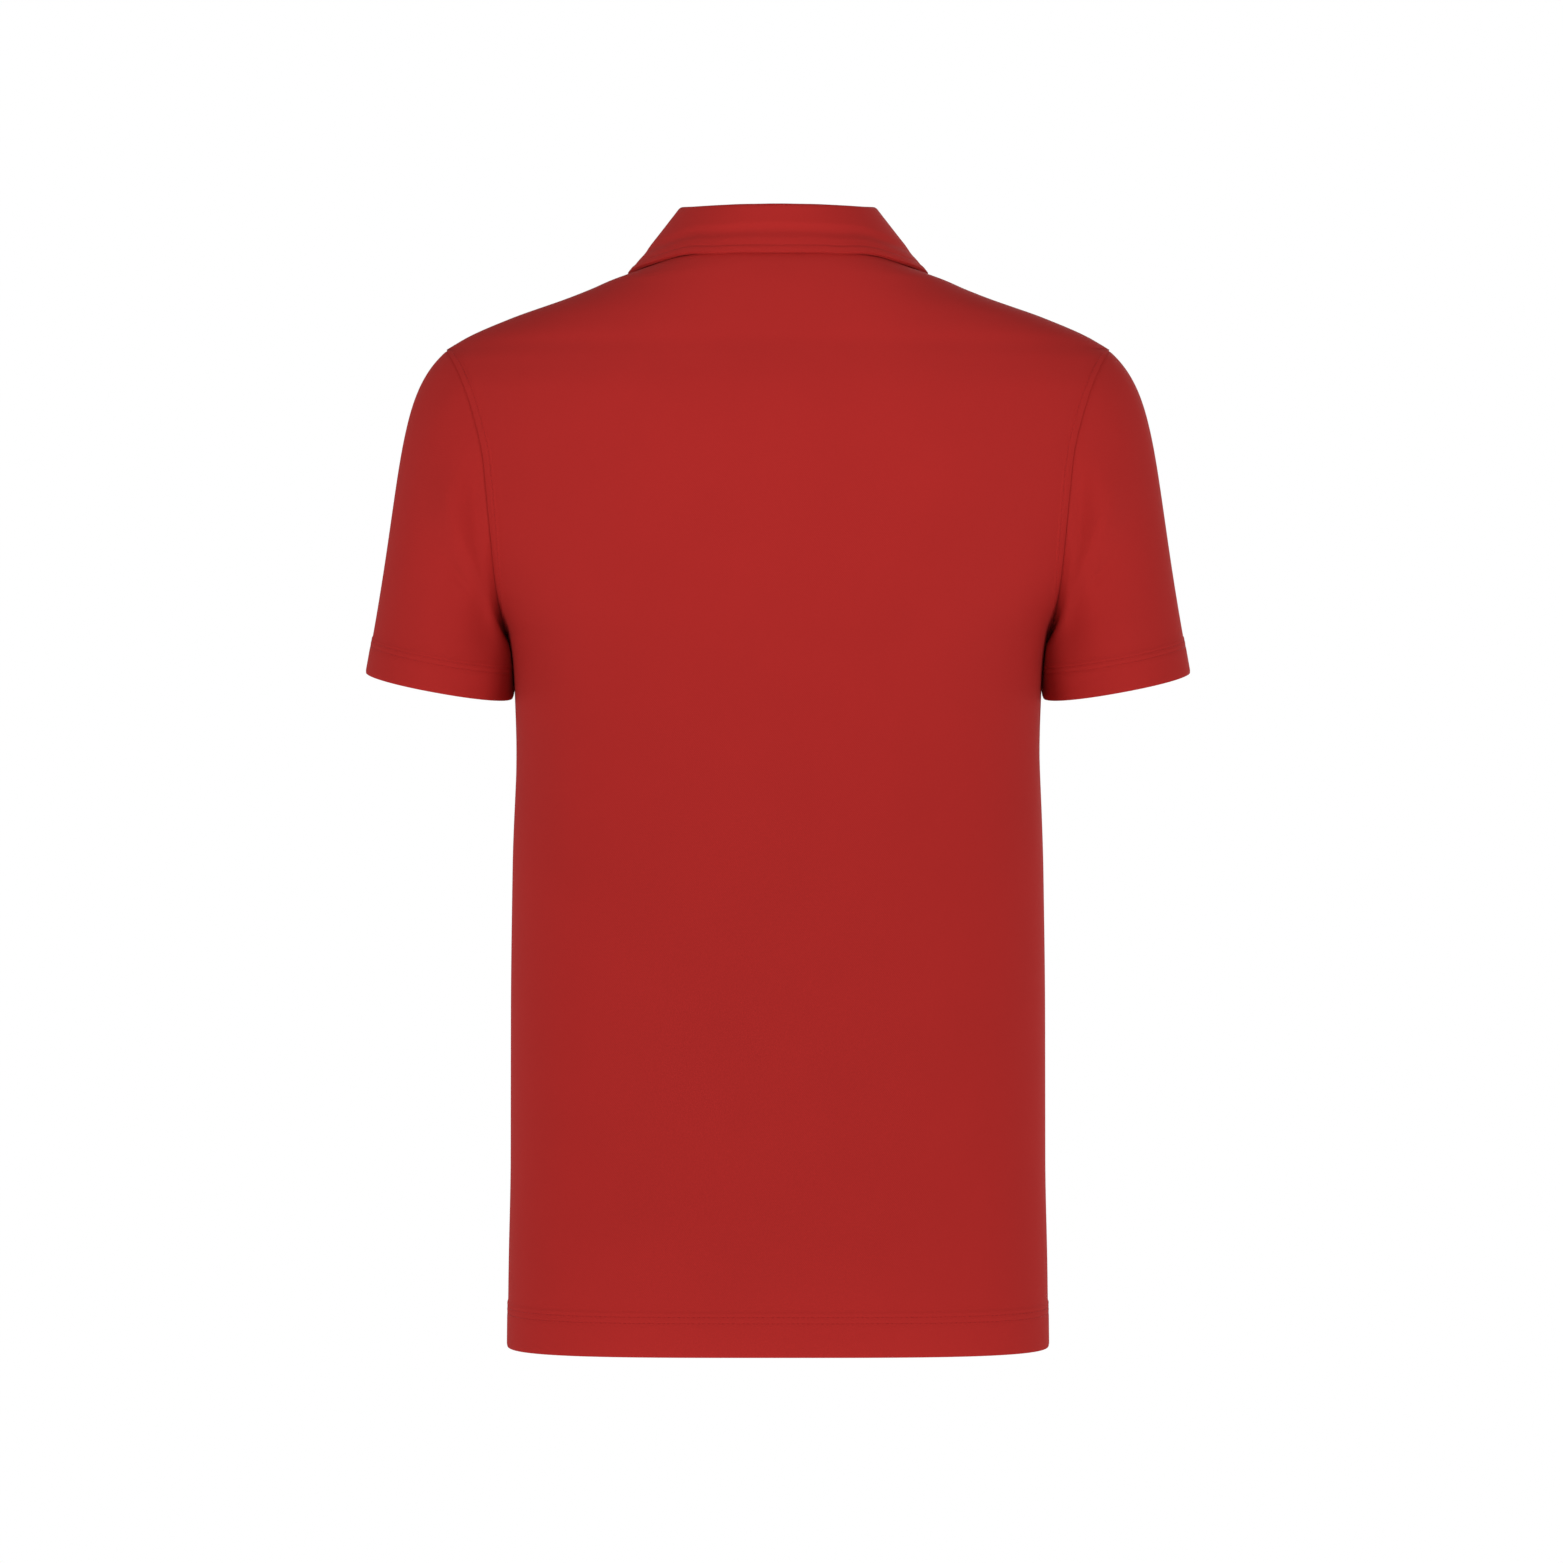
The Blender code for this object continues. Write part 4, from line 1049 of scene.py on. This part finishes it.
def button_shape():
    """One button lying on XY, its profile drawn out ring by ring and its four holes cut."""
    circle, cylinder = bpy.ops.mesh.primitive_circle_add, bpy.ops.mesh.primitive_cylinder_add
    piece = added(circle, vertices=48, radius=BUTTON[0][0] * MM, fill_type="NGON")
    bpy.ops.object.mode_set(mode="EDIT")
    bpy.ops.mesh.select_all(action="SELECT")
    for (radius, height), (wider, higher) in zip(BUTTON, BUTTON[1:]):
        rise = {"value": (0, 0, (higher - height) * MM)}
        bpy.ops.mesh.extrude_region_move(TRANSFORM_OT_translate=rise)
        bpy.ops.transform.resize(value=(wider / radius, wider / radius, 1))
    bpy.ops.mesh.select_all(action="SELECT")
    bpy.ops.mesh.normals_make_consistent(inside=False)
    bpy.ops.object.mode_set(mode="OBJECT")
    for degrees in (45, 135, 225, 315):
        turn = math.radians(degrees)
        place = Vector((math.cos(turn), math.sin(turn), 0)) * HOLE_OFFSET * MM
        drill = added(
            cylinder, vertices=20, radius=HOLE_RADIUS * MM, depth=DRILL_LENGTH * MM, location=place
        )
        bpy.ops.object.select_all(action="DESELECT")
        bpy.context.view_layer.objects.active = piece
        piece.select_set(True)
        hole = piece.modifiers.new("hole", "BOOLEAN")
        hole.operation, hole.solver, hole.object = "DIFFERENCE", "EXACT", drill
        bpy.ops.object.modifier_apply(modifier="hole")
        bpy.data.objects.remove(drill)
    bpy.ops.object.shade_smooth_by_angle(angle=math.radians(40))
    piece.data.materials.append(PLASTIC)
    return piece


def bound_slot():
    """A buttonhole's bound edge lying on XY: close thread round a narrow slot along Y."""
    radius, torus = SLOT_HALF_GAP + SLOT_THREAD, bpy.ops.mesh.primitive_torus_add
    sides = {"major_segments": 40, "minor_segments": 8}
    piece = added(torus, major_radius=radius, minor_radius=SLOT_THREAD, **sides)
    for v in piece.data.vertices:
        v.co.y += math.copysign(SLOT_HALF_LENGTH - SLOT_HALF_GAP, v.co.y)
        v.co = Vector((v.co.x, v.co.y, v.co.z * SLOT_FLATNESS)) * MM
    bpy.ops.object.shade_smooth()
    piece.data.materials.append(THREAD)
    return piece


def copied(piece, name, place, outward):
    """A copy of a small piece with its own mesh, moved to its place on the front."""
    mesh = piece.data.copy()
    turn = Vector((0, 0, 1)).rotation_difference(Vector(outward)).to_matrix().to_4x4()
    upright = Matrix.Rotation(math.pi, 4, "Z")
    mesh.transform(Matrix.Translation(Vector(place) * MM) @ turn @ upright)
    mesh.name = name
    one = new_object(name, mesh)
    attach(one, "root")
    return one


button_model, slot_model = button_shape(), bound_slot()
slots, threads = [], []
for number, drop in enumerate(BUTTON_DROPS, start=1):
    place = section(SLOT_TOP_LEVEL - drop, -1, 0.0, 1.0, lambda length: np.array([0.0]))[0]
    out = unit(slopes(place, -1))
    button = copied(button_model, f"button_{number}_moulded", place + out * BUTTON_REST, out)
    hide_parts(f"button_{number}")
    slots.append(copied(slot_model, f"buttonhole_{number}", place + out * SLOT_REST, out))
    half_thread = np.cross(out, (1.0, 0, 0)) * THREAD_HALF_LENGTH
    for side in (+1, -1):
        middle = place + out * THREAD_REST + (side * HOLE_OFFSET * math.sqrt(0.5), 0, 0)
        line = np.array([middle - half_thread, middle + half_thread])
        threads.append((line, np.array([out, out])))
for model in (button_model, slot_model):
    bpy.data.objects.remove(model)
button_threads = sewn("button_threads", threads)


# The room
# A plain pale floor well below the shirt, and soft white light: an even surround, two broad lamps
# on the back, one on the front, and weak ones that lift the neck, the hem and the sides a little.

FLOOR_LEVEL, FLOOR_RADIUS = -2.3, 3.0
disc, place = bpy.ops.mesh.primitive_circle_add, (0, 0, FLOOR_LEVEL)
floor = added(disc, vertices=96, radius=FLOOR_RADIUS, fill_type="NGON", location=place)
floor.name = "floor"
FLOOR_FINISH, floor_shader, floor_place = new_material("pale_floor")
floor_tone = floor_place.noise(3.0, 3.0).between((0.80, 0.80, 0.80, 1), (0.84, 0.84, 0.84, 1))
floor_tone.into(floor_shader, "Base Color")
floor_shader.inputs["Roughness"].default_value = 0.9
floor.data.materials.append(FLOOR_FINISH)


def hang(name, light, place, aim):
    """Puts a lamp in its place and turns it to a point."""
    holder = new_object(name, light)
    holder.location = place
    holder.rotation_euler = (Vector(aim) - Vector(place)).to_track_quat("-Z", "Y").to_euler()


def panel_lamp(name, place, aim, watts, width, height, spread=180):
    """A flat soft lamp, with a grid on it where its spread is small."""
    light = bpy.data.lights.new(name, "AREA")
    light.shape, light.size, light.size_y = "RECTANGLE", width, height
    light.energy, light.spread = watts, math.radians(spread)
    hang(name, light, place, aim)


def spot_lamp(name, place, aim, watts, cone):
    """A round lamp that fades to the edge of its cone."""
    light = bpy.data.lights.new(name, "SPOT")
    light.energy, light.spot_size, light.spot_blend = watts, math.radians(cone), 1.0
    light.shadow_soft_size = 0.3
    hang(name, light, place, aim)


panel_lamp("on the back, left", (2.4, 2.7, -1.0), (0, 0, -0.5), 34, 1.2, 2.4)
panel_lamp("on the back, right", (-2.4, 2.7, -1.0), (0, 0, -0.5), 34, 1.2, 2.4)
panel_lamp("on the front", (-0.9, -3.4, 0.7), (0, 0, -0.36), 40, 2.2, 2.2)
panel_lamp("on the hem", (0, 2.3, -1.0), (0, 0, -1.0), 0.16, 0.32, 0.5, 7)
spot_lamp("on the neck", (0, 2.3, 0.1), (0, 0.08, 0.05), 92, 14)
spot_lamp("on the left edge", (2.25, -1.07, -0.54), (0, 0, -0.54), 50, 16)
spot_lamp("on the right edge", (-2.25, -1.07, -0.54), (0, 0, -0.54), 50, 16)

world = bpy.data.worlds.new("studio")
bpy.context.scene.world = world
world.use_nodes = True
sky = Socket(world.node_tree)
background = world.node_tree.nodes["Background"]
seen = sky.node("LightPath", {}, {}, output="Is Camera Ray")
way = sky.node("TexCoord", {}, {}, output="Generated")
up = sky.node("SeparateXYZ", {}, {0: way}, output=2)
level = seen.maths("MAXIMUM", seen, up.spread(-0.3, 1.0, 0.70, 0.36))
level.into(background, "Strength")
background.inputs["Color"].default_value = (1, 1, 1, 1)

# The camera stands square behind the shirt, level with its middle, as in the photograph.
CAMERA_DISTANCE, CAMERA_LEVEL, FRAME_WIDTH, SENSOR_WIDTH = 3.75, -0.346, 1.042, 36.0
IMAGE_SIZE, MIDDLE_PIXEL = 1563, 778
view_point = bpy.data.cameras.new("camera")
view_point.sensor_width = SENSOR_WIDTH
view_point.lens = SENSOR_WIDTH * CAMERA_DISTANCE / FRAME_WIDTH
view_point.shift_x = (IMAGE_SIZE / 2 - MIDDLE_PIXEL) / IMAGE_SIZE
camera = new_object("camera", view_point)
camera.location = (0, CAMERA_DISTANCE, CAMERA_LEVEL)
camera.rotation_euler = (math.radians(90), 0, math.radians(180))
bpy.context.scene.camera = camera
bpy.context.scene.view_settings.view_transform = "Standard"
